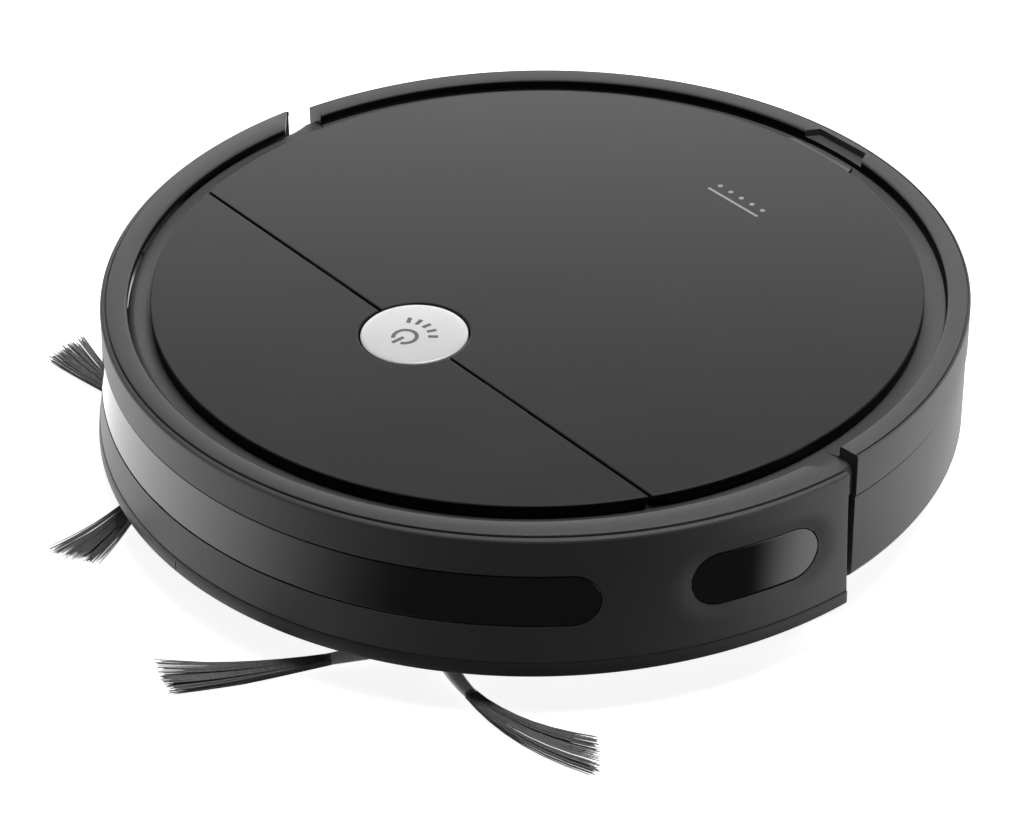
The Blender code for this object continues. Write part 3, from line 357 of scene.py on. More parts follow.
def noise(tree, place, scale, detail, coordinate="Object"):
    made = tree.nodes.new("ShaderNodeTexNoise")
    made.inputs["Scale"].default_value = scale
    made.inputs["Detail"].default_value = detail
    tree.links.new(place.outputs[coordinate], made.inputs["Vector"])
    return made


def ramp(tree, source, low, high, start=0.3, end=0.7):
    made = tree.nodes.new("ShaderNodeValToRGB")
    made.color_ramp.elements[0].position = start
    made.color_ramp.elements[0].color = (*low, 1)
    made.color_ramp.elements[1].position = end
    made.color_ramp.elements[1].color = (*high, 1)
    tree.links.new(source.outputs["Fac"], made.inputs["Fac"])
    return made


def strands(name, colour, roughness, scale=(300.0, 4000.0, 4000.0), transmission=0.0):
    """Nylon, paper or wrap with streaks along one direction."""
    made = plastic(name, colour, roughness)
    tree = made.node_tree
    shader = tree.nodes["Principled BSDF"]
    place = tree.nodes.new("ShaderNodeTexCoord")
    turn = tree.nodes.new("ShaderNodeMapping")
    turn.inputs["Scale"].default_value = scale
    tree.links.new(place.outputs["Object"], turn.inputs["Vector"])
    streak = tree.nodes.new("ShaderNodeTexNoise")
    streak.inputs["Scale"].default_value = 1.0
    tree.links.new(turn.outputs["Vector"], streak.inputs["Vector"])
    tint = ramp(tree, streak, [c * 0.55 for c in colour], [min(1.0, c * 1.6) for c in colour])
    tree.links.new(tint.outputs["Color"], shader.inputs["Base Color"])
    if transmission:
        shader.inputs["Transmission Weight"].default_value = transmission
    return made


SHELL = plastic("shell_black", (0.074, 0.074, 0.075), 0.46, grain=0.35, grain_size=0.35)
LID = plastic("lid_black", (0.016, 0.016, 0.0163), 0.34, grain=0.22, grain_size=0.3)
INNER = plastic("inner_grey", (0.055, 0.055, 0.058), 0.5, grain=0.3)
# Near-black material that paints shade into the channel round the lid and into other recesses
CHANNEL_PAINTED_SHADE = plastic("channel_painted_shade", (0.004, 0.004, 0.004), 0.6, grain=0.2, Specular_IOR_Level=0.15)
WINDOW = plastic("window_black", (0.004, 0.003, 0.0035), 0.07, mottle=0.02, IOR=1.68)
SILVER = plastic("button_silver", (0.78, 0.78, 0.785), 0.34, grain=0.12, grain_size=0.15, mottle=0.02,
                 Metallic=0.25)
MARK = plastic("mark_grey", (0.14, 0.14, 0.145), 0.5)
MARK_SILVER = plastic("mark_silver", (0.42, 0.42, 0.43), 0.35, Metallic=0.6)
RUBBER = plastic("tyre_rubber", (0.020, 0.020, 0.021), 0.72, grain=0.5, grain_size=0.6)
STRIP = plastic("strip_rubber", (0.042, 0.042, 0.043), 0.5, grain=0.3, grain_size=0.3)
SMOKE = plastic("bin_smoke", (0.11, 0.12, 0.135), 0.18, mottle=0.04)
PALE = plastic("white_plastic", (0.70, 0.70, 0.69), 0.42, grain=0.15)
STEEL = plastic("steel", (0.50, 0.50, 0.52), 0.32, grain=0.1, grain_size=0.2, Metallic=1.0)
CONTACT = plastic("contact_plating", (0.66, 0.62, 0.55), 0.22, Metallic=1.0)
BOARD = plastic("circuit_board", (0.015, 0.12, 0.05), 0.38, mottle=0.25)
BRISTLE = strands("bristle_nylon", (0.22, 0.22, 0.224), 0.4)
SLEEVE = plastic("sleeve_rubber", (0.33, 0.33, 0.33), 0.35, Transmission_Weight=0.35)
PAPER = strands("filter_paper", (0.72, 0.70, 0.65), 0.85, (2.0, 900.0, 2.0))
WRAP = plastic("battery_wrap", (0.03, 0.10, 0.28), 0.3, grain=0.15)


# ---------------------------------------------------------------- casings

REAR_START = math.degrees(math.asin(REAR_END_Y / BODY_R))
FINE = 1.5


def set_back(angle):
    """Room the fixed body leaves for the bumper's travel, most at the front."""
    return (BUMPER_TRAVEL + GAP) * max(0.0, -math.sin(math.radians(angle)))


def round_body(rear_profile, front_profile):
    rear_angles = steps(REAR_START, 180 - REAR_START, FINE)
    front_angles = steps(180 - REAR_START, 360 + REAR_START, FINE)
    stations = [(a, rear_profile()) for a in rear_angles]
    stations += [(a, front_profile(a)) for a in front_angles]
    return dish(stations)


def end_inset(angle, start, end, size=0.35):
    """How far a shell's section shrinks next to its ends, which rounds their edges."""
    near = min(angle - start, end - angle) * math.radians(BODY_R)
    if near >= size:
        return 0.0
    return size * (1 - math.sqrt(max(0.0, 1 - (1 - near / size) ** 2)))


def bin_outline(room):
    back = reach("dust_bin") + room
    half = span("dust_bin", 0)[1] + room
    front = span("dust_bin", 1)[0] - room
    corner = math.degrees(math.acos(half / back))
    return [(-half, front), (half, front), *arc_points(back, corner, 180 - corner, 3)]


def housing():
    under = DECK_Z - WALL
    low = SEAM_Z + GAP

    def rear():
        r = BODY_R
        return [(140, under), (r - 3, under), (r - 3, low), (r - 0.3, low), (r, low + 0.3), (r, TOP_Z - 0.65),
                (r - 0.12, TOP_Z - 0.35), (r - 0.45, TOP_Z - 0.2), (r - 0.75, TOP_Z - 0.22),
                (r - 0.8, TOP_Z - 0.9), (r - 1.15, TOP_Z - 0.9), (r - 1.2, TOP_Z - 0.12),
                (r - 1.35, TOP_Z), (RIM_INNER_R + 1.1, TOP_Z), (RIM_INNER_R + 0.5, TOP_Z - 0.15),
                (RIM_INNER_R + 0.12, TOP_Z - 0.5), (RIM_INNER_R, TOP_Z - 1.0),
                (RIM_INNER_R, DECK_Z + 2.2), (RIM_INNER_R - 0.6, DECK_Z + 1.4), (143.5, DECK_Z + 0.3),
                (140, DECK_Z)]

    def front(angle):
        back = set_back(angle)
        wide = 2.4 * smooth(math.sin(math.radians(angle)) / 0.05)
        r = FRONT_WALL_R - back + wide
        curve = [(0, -3.0), (0.2, -1.8), (0.5, -0.9), (0.9, -0.2), (1.3, 0.3), (1.7, 0.65),
                 (2.1, 0.9), (2.5, 1.05)]
        curve += [(2.8 + 0.2 * i, 1.15) for i in range(6)]
        return [(140, under), (r - WALL - wide, under), (r - WALL - wide, low), (r - 0.3, low),
                (r, low + 0.3),
                *[(r - d, DECK_Z + h) for d, h in curve], (143.5, DECK_Z + 0.3), (140, DECK_Z)]

    shell = piece("housing_shell", round_body(rear, front), SHELL, "chassis", ("upper_housing",))
    stem = rod((0, BUTTON_Y, 55), (0, BUTTON_Y, 70), 4.5)
    notch = loft([[(-NOTCH_HALF, 147, z), (NOTCH_HALF, 147, z), (NOTCH_HALF, RIM_INNER_R - 1, z),
                   (NOTCH_HALF - 3.2, 155.2, z), (-NOTCH_HALF + 3.2, 155.2, z),
                   (-NOTCH_HALF, RIM_INNER_R - 1, z)]
                  for z in (DECK_Z + 3.2, TOP_Z + 3)])
    carve(shell, "DIFFERENCE", prism(bin_outline(0.8), 55, 80), notch, stem)
    ears = []
    hinge = span("lid_hinge_pin_right", 0)
    for _, s in SIDES:
        for x in ((hinge[0] - 0.5, hinge[0] + 3), (hinge[1] - 3, hinge[1] + 0.5)):
            ears.append(box(sorted((s * x[0], s * x[1])), (HINGE_Y - 0.9, HINGE_Y + 2.1),
                            (DECK_Z - 1, HINGE_Z + 1.0)))
    carve(shell, "UNION", *ears)
    holes = [rod((s * (hinge[0] - 4), HINGE_Y, HINGE_Z), (s * (hinge[1] + 4), HINGE_Y, HINGE_Z), 1.1, 16)
             for _, s in SIDES]
    carve(shell, "DIFFERENCE", *holes)
    # Painted shade: the rear rim's inner wall and the deck below it, down in the channel round the lid, get
    # the near-black material
    shade(shell, CHANNEL_PAINTED_SHADE, lambda c, r: DECK_Z - 1 < c.z < TOP_Z - 0.8 and 148.2 < r < RIM_INNER_R + 0.05
          and c.y > REAR_END_Y - 0.5)


def chassis_openings():
    half = sum(span("drive_tyre_right", 0)) / 2
    width = span("drive_tyre_right", 0)[1] - half
    caster = (0, sum(span("caster_fork", 1)) / 2)
    roller_y = sum(span("roller_core", 1)) / 2
    roller_x = span("roller_bristles", 0)[1] + 5
    battery = [span("battery_pack", i) for i in (0, 1)]
    cuts = [prism(arc_points(20.5, 0, 355, 5, caster), 0, 26.5),
            box((-roller_x, roller_x), (roller_y - 19, roller_y + 19), (0, 20)),
            box((battery[0][0] - 1, battery[0][1] + 1), (battery[1][0] - 1, battery[1][1] + 1), (0, 20))]
    gearbox = span("wheel_gearbox_right", 0)[1] - 17
    for _, s in SIDES:
        cuts.append(box(sorted((s * (gearbox - 1), s * (half + width + 2))),
                        (-WHEEL_R - 6, WHEEL_R + 5), (0, 20)))
        cuts.append(rod((s * BRUSH_X, BRUSH_Y, 0), (s * BRUSH_X, BRUSH_Y, 20), 4.5))
    return caster, cuts


def wall_block(angle, half_width, low, high, inner_r, outer_r):
    out = Vector(at(1, angle, 0))
    along = Vector((-out.y, out.x, 0))
    ends = [out * r + along * w for r, w in ((inner_r, -half_width), (outer_r, -half_width),
                                             (outer_r, half_width), (inner_r, half_width))]
    return prism([(c.x, c.y) for c in ends], low, high)


def chassis():
    floor = BASE_Z + WALL
    high = SEAM_Z

    def rear():
        r = BODY_R - 0.4
        return [(BASE_R - 1, BASE_Z), (BASE_R + 1, BASE_Z + 0.35), (r - 2.5, CHASSIS_REAR_Z - 1.6),
                (r - 0.8, CHASSIS_REAR_Z - 0.3), (r, CHASSIS_REAR_Z + 1.2), (r, high - 0.3), (r - 0.3, high),
                (r - WALL, high), (r - WALL, CHASSIS_REAR_Z + 1.5), (BASE_R - 1, floor)]

    def front(angle):
        back = set_back(angle)
        r = FRONT_WALL_R - back
        return [(BASE_R - 1 - back, BASE_Z), (BASE_R + 1 - back, BASE_Z + 0.35), (r - 2.5, BUMPER_Z - 1.3),
                (r - 0.8, BUMPER_Z), (r, BUMPER_Z + 1.4), (r, high - 0.3), (r - 0.3, high), (r - WALL, high),
                (r - WALL, BUMPER_Z + 2.4), (BASE_R - 1 - back, floor)]

    shell = piece("chassis_shell", round_body(rear, front), SHELL, "chassis", ("lower_chassis",))
    caster, cuts = chassis_openings()
    carve(shell, "UNION", prism(arc_points(22.5, 0, 355, 5, caster), BASE_Z + 0.5, 29))
    carve(shell, "DIFFERENCE", *cuts)
    carve(shell, "DIFFERENCE", rod((*caster, 22), (*caster, 35), 4.4))
    ears = []
    pin = span("arm_pivot_pin_right", 0)
    pivot = [sum(span("arm_pivot_pin_right", i)) / 2 for i in (1, 2)]
    for _, s in SIDES:
        for x in ((pin[0] + 1.5, pin[0] + 4.5), (pin[1] - 4, pin[1] - 1)):
            ears.append(box(sorted((s * x[0], s * x[1])), (pivot[0] - 5, pivot[0] + 4.5),
                            (floor - 1, pivot[1] + 6)))
    carve(shell, "UNION", *ears)
    holes = [rod((s * (pin[0] - 2), *pivot), (s * (pin[1] + 2), *pivot), 2.8) for _, s in SIDES]
    for name in ("cliff_sensor_1", "cliff_sensor_2", "cliff_sensor_3", "charge_contact_right",
                 "charge_contact_left"):
        x, y = span(name, 0), span(name, 1)
        holes.append(box((x[0] - 0.5, x[1] + 0.5), (y[0] - 0.5, y[1] + 0.5), (0, 20)))
    carve(shell, "DIFFERENCE", *holes)
    start, end, low, top = 62.0, 80.0, 30.0, 46.0
    ports = [sweep([(a, [(150, low), (165, low), (165, top), (150, top)]) for a in steps(start, end, 2)]),
             wall_block(152, 10, 31, 45, 148, 165), rod(at(148, 140, 38), at(165, 140, 38), 4.5)]
    switch_x = sum(span("bumper_switch_right", 0)) / 2
    ports += [box(sorted((s * (switch_x - 3), s * (switch_x + 3))), (-160, -135), (27, 33)) for _, s in SIDES]
    carve(shell, "DIFFERENCE", *ports)


# ------------------------------------------------------------------ bumper

def bumper_top_r(angle):
    """Radius of the upper edge, a circle whose centre lies behind the axis."""
    t = math.radians(angle)
    edge = BUMPER_TOP_R + BUMPER_SWELL
    return BUMPER_SWELL * math.sin(t) + math.sqrt(edge ** 2 - (BUMPER_SWELL * math.cos(t)) ** 2)


def bumper_r(z, angle):
    top = bumper_top_r(angle)
    share = max(0.0, min(1.0, (TOP_Z - z) / (TOP_Z - BUMPER_Z)))
    return top + (BUMPER_LOW_R - top) * share ** 1.8


def window_distance(window, angle, z):
    """Distance in millimetres outside a window's stadium outline, negative inside."""
    start, end, low, high = window
    half = (high - low) / 2
    cap = math.degrees(half / BUMPER_TOP_R)
    nearest = max(start + cap, min(end - cap, angle))
    along = math.radians(angle - nearest) * BUMPER_TOP_R
    return math.hypot(along, z - (low + high) / 2) - half


def mirrored(window):
    start, end, low, high = window
    return (-180 - end, -180 - start, low, high)


def dished(angle, z):
    """How deep the side windows' soft surround is at a place on the bumper."""
    near = min(window_distance(w, angle, z) for w in (SIDE_WINDOW, mirrored(SIDE_WINDOW)))
    return 1.0 * smooth(1 - near / 5.5)


def bumper_angles(step):
    end = math.degrees(math.asin(BUMPER_END_Y / bumper_top_r(0)))
    extra = [end - t for t in (0.012, 0.03, 0.06, 0.1)]
    inner = steps(-180 - end + 0.13, end - 0.13, step)
    return [-180 - end] + [-180 - e for e in extra] + inner + extra[::-1] + [end]


def bumper_section(angle):
    top = TOP_Z
    heights = steps(SKIRT_Z + 0.25, top - 2.0, 1.9)
    outline = [(bumper_r(z, angle) - dished(angle, z), z) for z in heights]
    r = bumper_top_r(angle)
    outline += [(r, top - 1.9), (r - 0.12, top - 1.35), (r - 0.45, top - 1.0), (r - 1.0, top - 0.8),
                (r - 1.8, top - 0.7), (r - 1.86, top - 1.6), (r - 2.25, top - 1.6), (r - 2.3, top - 0.5),
                (r - 2.42, top - 0.12), (r - 2.7, top), (RIM_INNER_R + 1.1, top),
                (RIM_INNER_R + 0.5, top - 0.15),
                (RIM_INNER_R + 0.12, top - 0.5), (RIM_INNER_R, top - 1.0), (RIM_INNER_R, top - 3)]
    outline += [(bumper_r(z, angle) - 2.4 - dished(angle, z), z) for z in reversed(heights)]
    return outline


def shrink(outline, amount):
    centre = Vector((sum(p[0] for p in outline), sum(p[1] for p in outline))) / len(outline)
    if not amount:
        return outline
    moved = []
    for r, z in outline:
        step = Vector((r, z)) - centre
        moved.append((r - math.copysign(min(amount, abs(step.x)), step.x),
                      z - math.copysign(min(amount, abs(step.y)), step.y)))
    return moved


def window_sections(window, room, inner, outer, edge=0.0, step=1.5):
    """Sections of a curved stadium between two radius rules, grown by room."""
    start, end, low, high = window
    low, high = low - room, high + room
    half, middle = (high - low) / 2, (high + low) / 2
    cap = math.degrees(half / BUMPER_TOP_R)
    grow = math.degrees(room / BUMPER_TOP_R)
    start, end = start - grow, end + grow
    turns = steps(0, 90, 7.5)
    tips = [(start + cap * (1 - math.cos(math.radians(t))), half * math.sin(math.radians(t))) for t in turns]
    stations = tips + [(a, half) for a in steps(start + cap, end - cap, step)[1:-1]]
    stations += [(start + end - a, h) for a, h in reversed(tips)]
    sections = []
    for angle, tall in stations:
        heights = [middle + tall * t for t in (-1, -0.5, 0, 0.5, 1)]
        if edge:
            side = min(edge, tall * 0.6)
            heights = [heights[0], heights[0] + side * 0.35, heights[0] + side, heights[0] + side * 1.5,
                       *heights[1:4], heights[4] - side * 1.5, heights[4] - side,
                       heights[4] - side * 0.35, heights[4]]
        last = len(heights) - 1
        outline = []
        for i, z in enumerate(heights):
            drop = edge if i in (0, last) else edge * 0.3 if i in (1, last - 1) else 0.0
            outline.append((outer(angle, z) - drop, z))
        outline += [(inner(angle, z), z) for z in reversed(heights)]
        sections.append((angle, outline))
    return sections


def window_solid(sections):
    points, faces = sweep(sections)
    return points, faces[:-2]


def window_places():
    return (("front_window", "ir_window", IR_WINDOW),
            ("side_window_cover_right", "side_window_right", SIDE_WINDOW),
            ("side_window_cover_left", "side_window_left", mirrored(SIDE_WINDOW)))


def bumper():
    end = math.degrees(math.asin(BUMPER_END_Y / bumper_top_r(0)))
    stations = [(a, shrink(bumper_section(a), end_inset(a, -180 - end, end))) for a in bumper_angles(1.25)]
    shell = piece("bumper_shell", sweep(stations), SHELL, "bumper", ("bumper",))
    for _, _, window in window_places():
        hole = window_sections(window, GAP, lambda a, z: bumper_r(z, a) - 6, lambda a, z: bumper_r(z, a) + 3)
        carve(shell, "DIFFERENCE", window_solid(hole))
    inside, outside = RIM_INNER_R - 6, bumper_top_r(0) - 2.5
    corners = ((inside, FLANGE_CUT_Y), (outside, BUMPER_END_Y - 1), (outside, 13), (inside, 13))
    carve(shell, "DIFFERENCE", *[prism([(sign * x, y) for x, y in corners], TOP_Z - 4.2, TOP_Z + 2)
                                 for _, sign in SIDES])
    # Painted shade: the bumper rim's inner wall and flange, down in the channel round the lid, get the
    # near-black material
    shade(shell, CHANNEL_PAINTED_SHADE, lambda c, r: r < RIM_INNER_R + 0.05 and c.z < TOP_Z - 0.9)
    low, high = BUMPER_Z, SKIRT_Z

    def foot(angle):
        sole, top = bumper_r(low, angle), bumper_r(high, angle)
        return [(sole - 3.2, low), (sole - 0.6, low), (sole - 0.1, low + 0.3), (sole + 0.1, low + 0.9),
                (top + 0.35, high - 0.4), (top + 0.1, high), (top - 3, high)]

    strip = piece("bumper_foot", sweep([(a, shrink(foot(a), end_inset(a, -180 - end, end)))
                                        for a in bumper_angles(1.25)]), STRIP, "bumper", ("bumper_strip",))
    tick = box((-0.2, 0.2), (-BUMPER_LOW_R - 2, -BUMPER_LOW_R + 1.2), (BUMPER_Z - 1, SKIRT_Z - 1.2))
    carve(strip, "DIFFERENCE", tick)
    for name, node, window in window_places():
        sections = window_sections(window, 0, lambda a, z: bumper_r(z, a) - 1.8 - dished(a, z),
                                   lambda a, z: bumper_r(z, a) - 0.12 - dished(a, z), edge=0.4)
        piece(name, window_solid(sections), WINDOW, "bumper", (node,), sharp=50)


# ------------------------------------------------------- lid, cover, button

def plate_outline(split, rear):
    corner = math.degrees(math.asin(split / LID_R))
    bite = BUTTON_R + 0.75
    half = math.degrees(math.acos((split - BUTTON_Y) / bite))
    if rear:
        edge = arc_points(LID_R, corner, 180 - corner, 1.0)
        gap = arc_points(bite, 90 + half, 90 - half, 4, (0, BUTTON_Y))
        return edge + gap
    edge = arc_points(LID_R, -180 - corner, corner, 1.0)
    gap = arc_points(bite, 90 - half, -270 + half, 4, (0, BUTTON_Y))
    return edge + gap


def edge_wall(start, end):
    outline = [(LID_R - 2, LID_LOW_Z), (LID_R - 0.3, LID_LOW_Z), (LID_R, LID_LOW_Z + 0.3), (LID_R, LID_Z - 1),
               (LID_R - 2, LID_Z - 1)]
    return sweep([(a, outline) for a in steps(start, end, 1.0)])


def lid():
    front = SPLIT_Y + 0.5
    rear = SPLIT_Y - 0.5
    top = piece("lid_plate", plate(plate_outline(front, True), LID_Z - 2, LID_Z), LID, "lid", ("rear_lid",))
    first = math.degrees(math.asin((HINGE_Y + 4) / LID_R))
    carve(top, "UNION", edge_wall(first, 180 - first))
    hinge = span("lid_hinge_pin_right", 0)
    knuckles = [rod((s * (hinge[0] + 3.4), HINGE_Y, HINGE_Z), (s * (hinge[1] - 3.4), HINGE_Y, HINGE_Z), 1.5)
                for _, s in SIDES]
    carve(top, "UNION", *knuckles)
    cuts = [rod((s * (hinge[0] - 5), HINGE_Y, HINGE_Z), (s * (hinge[1] + 5), HINGE_Y, HINGE_Z), 1.1, 16)
            for _, s in SIDES]
    carve(top, "DIFFERENCE", *cuts)
    ears = []
    for _, s in SIDES:
        for x in ((hinge[0] - 0.8, hinge[0] + 3.3), (hinge[1] - 3.3, hinge[1] + 0.8)):
            ears.append(box(sorted((s * x[0], s * x[1])), (HINGE_Y - 3, HINGE_Y + 2.5), (60, LID_Z - 0.45)))
    carve(top, "DIFFERENCE", *ears)
    tab = [[(-half, y, LID_Z - under), (half, y, LID_Z - under), (half - 0.5, y, LID_Z - over),
            (0.5 - half, y, LID_Z - over)]
           for half, y, under, over in ((21, 134, 1.8, 1.0), (18.5, LID_R - 2.0, 1.8, 0.35),
                                        (16.5, LID_R + 2.0, 2.2, 1.1), (14.8, LID_R + 4.2, 2.4, 1.8))]
    carve(top, "UNION", loft(tab))
    # Painted shade: the lid's side wall below its top edge, in the channel's shadow, gets the near-black
    # material
    shade(top, CHANNEL_PAINTED_SHADE, lambda c, r: r > LID_R - 0.1 and c.z < LID_Z - 1.0 and abs(c.x) > 20)
    cover = piece("cover_plate", plate(plate_outline(rear, False), LID_Z - 2, LID_Z), LID, "chassis",
                  ("front_cover",))
    last = math.degrees(math.asin((rear - 1) / LID_R))
    carve(cover, "UNION", edge_wall(-180 - last, last))
    # Painted shade: the cover's side wall below its top edge, in the channel's shadow, gets the near-black
    # material
    shade(cover, CHANNEL_PAINTED_SHADE, lambda c, r: r > LID_R - 0.1 and c.z < LID_Z - 1.0)
    piece("lid_mark", join_meshes(*lid_mark()), MARK_SILVER, "lid")


def lid_mark():
    """Plain decoration at the back of the lid: a thin bar with five dots over it."""
    bar = prism(rounded([(-8, 91, 0.5), (20, 91, 0.5), (20, 92.1, 0.5), (-8, 92.1, 0.5)]),
                LID_Z - 0.2, LID_Z + 0.05)
    dots = [prism(arc_points(1.0, 0, 345, 15, (-6 + 6 * i, 96)), LID_Z - 0.2, LID_Z + 0.05) for i in range(5)]
    return [bar, *dots]


def crown(distance):
    """Height of the button's domed top above the lid at a distance from its middle."""
    return 0.55 - 0.6 * (distance / BUTTON_R) ** 2


def button():
    stem = span("main_button", 2)[0]
    low = LID_Z - 2.6
    profile = [(r, LID_Z + crown(r)) for r in (0.4, 4, 8, 12, 15, 17, BUTTON_R - 0.7)]
    profile += [(BUTTON_R - 0.3, LID_Z + crown(BUTTON_R) - 0.12),
                (BUTTON_R - 0.06, LID_Z + crown(BUTTON_R) - 0.4),
                (BUTTON_R, LID_Z - 1.0), (BUTTON_R, low), (3.5, low), (3.5, stem)]
    piece("button_cap", turned(profile, (0, BUTTON_Y, 0), sides=96, whole=False), SILVER, "button",
          ("main_button",))
    piece("button_marks", join_meshes(*button_marks()), MARK, "button")


def printed(outline):
    """Thin print that follows the button's dome; the outline is about the button's middle."""
    loops = []
    for lift in (-0.15, 0.035):
        loops.append([(x, BUTTON_Y + y, LID_Z + crown(math.hypot(x, y)) + lift) for x, y in outline])
    return loft(loops)


def button_marks():
    icon = (0.2, -61.3 - BUTTON_Y)
    inner, outer = 3.5, 5.0
    ring = arc_points(outer, -60, 240, 6, icon) + arc_points(inner, 240, -60, 6, icon)
    bar = rounded([(icon[0] + x, icon[1] + y, 0.5)
                   for x, y in ((-0.75, -5.8), (0.75, -5.8), (0.75, -0.6), (-0.75, -0.6))])
    marks = [printed(ring), printed(bar)]
    for i in range(5):
        turn = math.radians(90 + 20 * (2 - i))
        out = Vector((math.cos(turn), math.sin(turn)))
        across = Vector((-out.y, out.x))
        middle = Vector((-0.4, -5.0)) + out * 11.0
        bar = [middle + across * x + out * y for x, y in ((-0.8, -1.8), (0.8, -1.8), (0.8, 1.8), (-0.8, 1.8))]
        marks.append(printed([(p.x, p.y) for p in bar][::-1]))
    return marks


# ------------------------------------------------------------ side brushes

# Each arm: direction it leaves the hub, then the tip's direction and distance, all from the hub.
ARMS = {"right": ((246.0, 239.7, 95.0), (-30.0, 3.8, 78.5), (123.0, 120.0, 86.0)),
        "left": ((-58.0, -66.8, 74.0), (180.0, 178.2, 89.0), (57.0, 54.0, 86.0))}
BRISTLES_PER_TUFT = 110


def arm_path(hub, arm, t, z_root=5.6, z_tip=1.3):
    """Point along an arm, t from the hub (0) to the tip (1)."""
    start, end, length = arm
    tip = Vector(at(length, end, 0))
    out = Vector(at(length * 0.5, start, 0))
    flat = out * 2 * t * (1 - t) + tip * t * t
    return Vector((hub[0], hub[1], z_root + (z_tip - z_root) * smooth(t * 1.1))) + flat


def tube(points, radii, sides):
    """Tube through points with a radius at each."""
    loops = []
    for i, (point, radius) in enumerate(zip(points, radii)):
        ahead = points[min(i + 1, len(points) - 1)] - points[max(i - 1, 0)]
        along = ahead.normalized()
        across = along.cross(Vector((0, 0, 1))).normalized()
        up = across.cross(along)
        loops.append([point + radius * (across * math.cos(t) + up * math.sin(t))
                      for t in (2 * math.pi * j / sides for j in range(sides))])
    return loft(loops)


def side_brush(side, s):
    hub = (s * BRUSH_X, BRUSH_Y)
    rng = random.Random(7 if s > 0 else 11)
    profile = [(0.4, 3.9), (3.2, 3.9), (3.6, 4.4), (9, 4.3), (12.5, 4.6), (14.6, 5.6), (15, 6.6), (15, 8.0),
               (14.2, 8.6), (6, 9.2), (3.2, 9.4), (3.2, 17)]
    body = f"side_brush_{side}"
    hub_node = f"side_brush_hub_{side}"
    piece(f"brush_hub_{side}", turned(profile, (*hub, 0), sides=64, whole=False), INNER, body, (hub_node,))
    sleeves, bristles = [], []
    for arm in ARMS[side]:
        path = [arm_path(hub, arm, t) for t in steps(0.08, 0.42, 0.05)]
        sleeves.append(tube(path, [3.4 - 1.3 * i / (len(path) - 1) for i in range(len(path))], 20))
        for _ in range(BRISTLES_PER_TUFT):
            spread, lift = rng.uniform(-1, 1), rng.uniform(-1, 1)
            lead = rng.gauss(0, 0.25)
            length = 1.0 + 0.035 * spread + rng.uniform(-0.02, 0.02)
            points = []
            for i in range(8):
                t = 0.40 + (length - 0.40) * i / 7
                centre = arm_path(hub, arm, t)
                ahead = (arm_path(hub, arm, t + 0.02) - arm_path(hub, arm, t - 0.02)).normalized()
                across = ahead.cross(Vector((0, 0, 1))).normalized()
                open_up = ((t - 0.38) / 0.62) ** 1.3
                offset = spread * (2.0 + 7.2 * open_up) + lead * open_up * 2
                point = centre + across * offset
                point.z = max(0.5, centre.z + lift * (1.1 + 0.4 * open_up))
                points.append(point)
            bristles.append(tube(points, [0.26] * 7 + [0.16], 4))
    piece(f"brush_sleeves_{side}", join_meshes(*sleeves), SLEEVE, body)
    piece(f"brush_bristles_{side}", join_meshes(*bristles), BRISTLE, body,
          (f"side_brush_bristles_{side}",), sharp=80)


# -------------------------------------------------- wheels, caster, roller

def wheels():
    for side, s in SIDES:
        low, high = span(f"drive_tyre_{side}", 0)
        middle, half = (low + high) / 2, (high - low) / 2
        centre = (middle, 0, WHEEL_R)
        rim = WHEEL_R - 5
        ring = [(rim, -half), (WHEEL_R - 2.2, -half), (WHEEL_R - 1.4, -half + 0.8),
                (WHEEL_R - 1.4, half - 0.8),
                (WHEEL_R - 2.2, half), (rim, half)]
        solids = [turned(ring, centre, "X", 96)]
        lugs = 30
        for i in range(lugs):
            for row, (x0, x1) in enumerate(((-half + 0.6, -0.4), (0.4, half - 0.6))):
                turn = 2 * math.pi * (i + 0.5 * row) / lugs
                loops = []
                for r, w in ((WHEEL_R - 2.0, 0.055), (WHEEL_R, 0.04)):
                    loop = []
                    for x, lean in ((x0, -0.05), (x1, 0.05)):
                        lean = lean if row else -lean
                        for d in ((-w, w) if x == x0 else (w, -w)):
                            loop.append((middle + x, r * math.sin(turn + lean + d),
                                         WHEEL_R - r * math.cos(turn + lean + d)))
                    loops.append(loop)
                solids.append(loft(loops))
        piece(f"tyre_{side}", join_meshes(*solids), RUBBER, f"wheel_{side}", (f"drive_tyre_{side}",))
        spokes = []
        out = s * (half - 2.6)
        for i in range(5):
            turn = 2 * math.pi * i / 5
            end = (middle + out, 20.5 * math.cos(turn), WHEEL_R + 20.5 * math.sin(turn))
            spokes.append(rod((middle + out, 0, WHEEL_R), end, 2.0, 16))
        cap = turned([(0.3, out + s * 2.4), (5.6, out + s * 2.4), (6.4, out + s * 1.8), (6.6, out - s)],
                     (middle, 0, WHEEL_R), "X", 48, whole=False)
        piece(f"wheel_spokes_{side}", join_meshes(*spokes, cap), INNER, f"wheel_{side}")


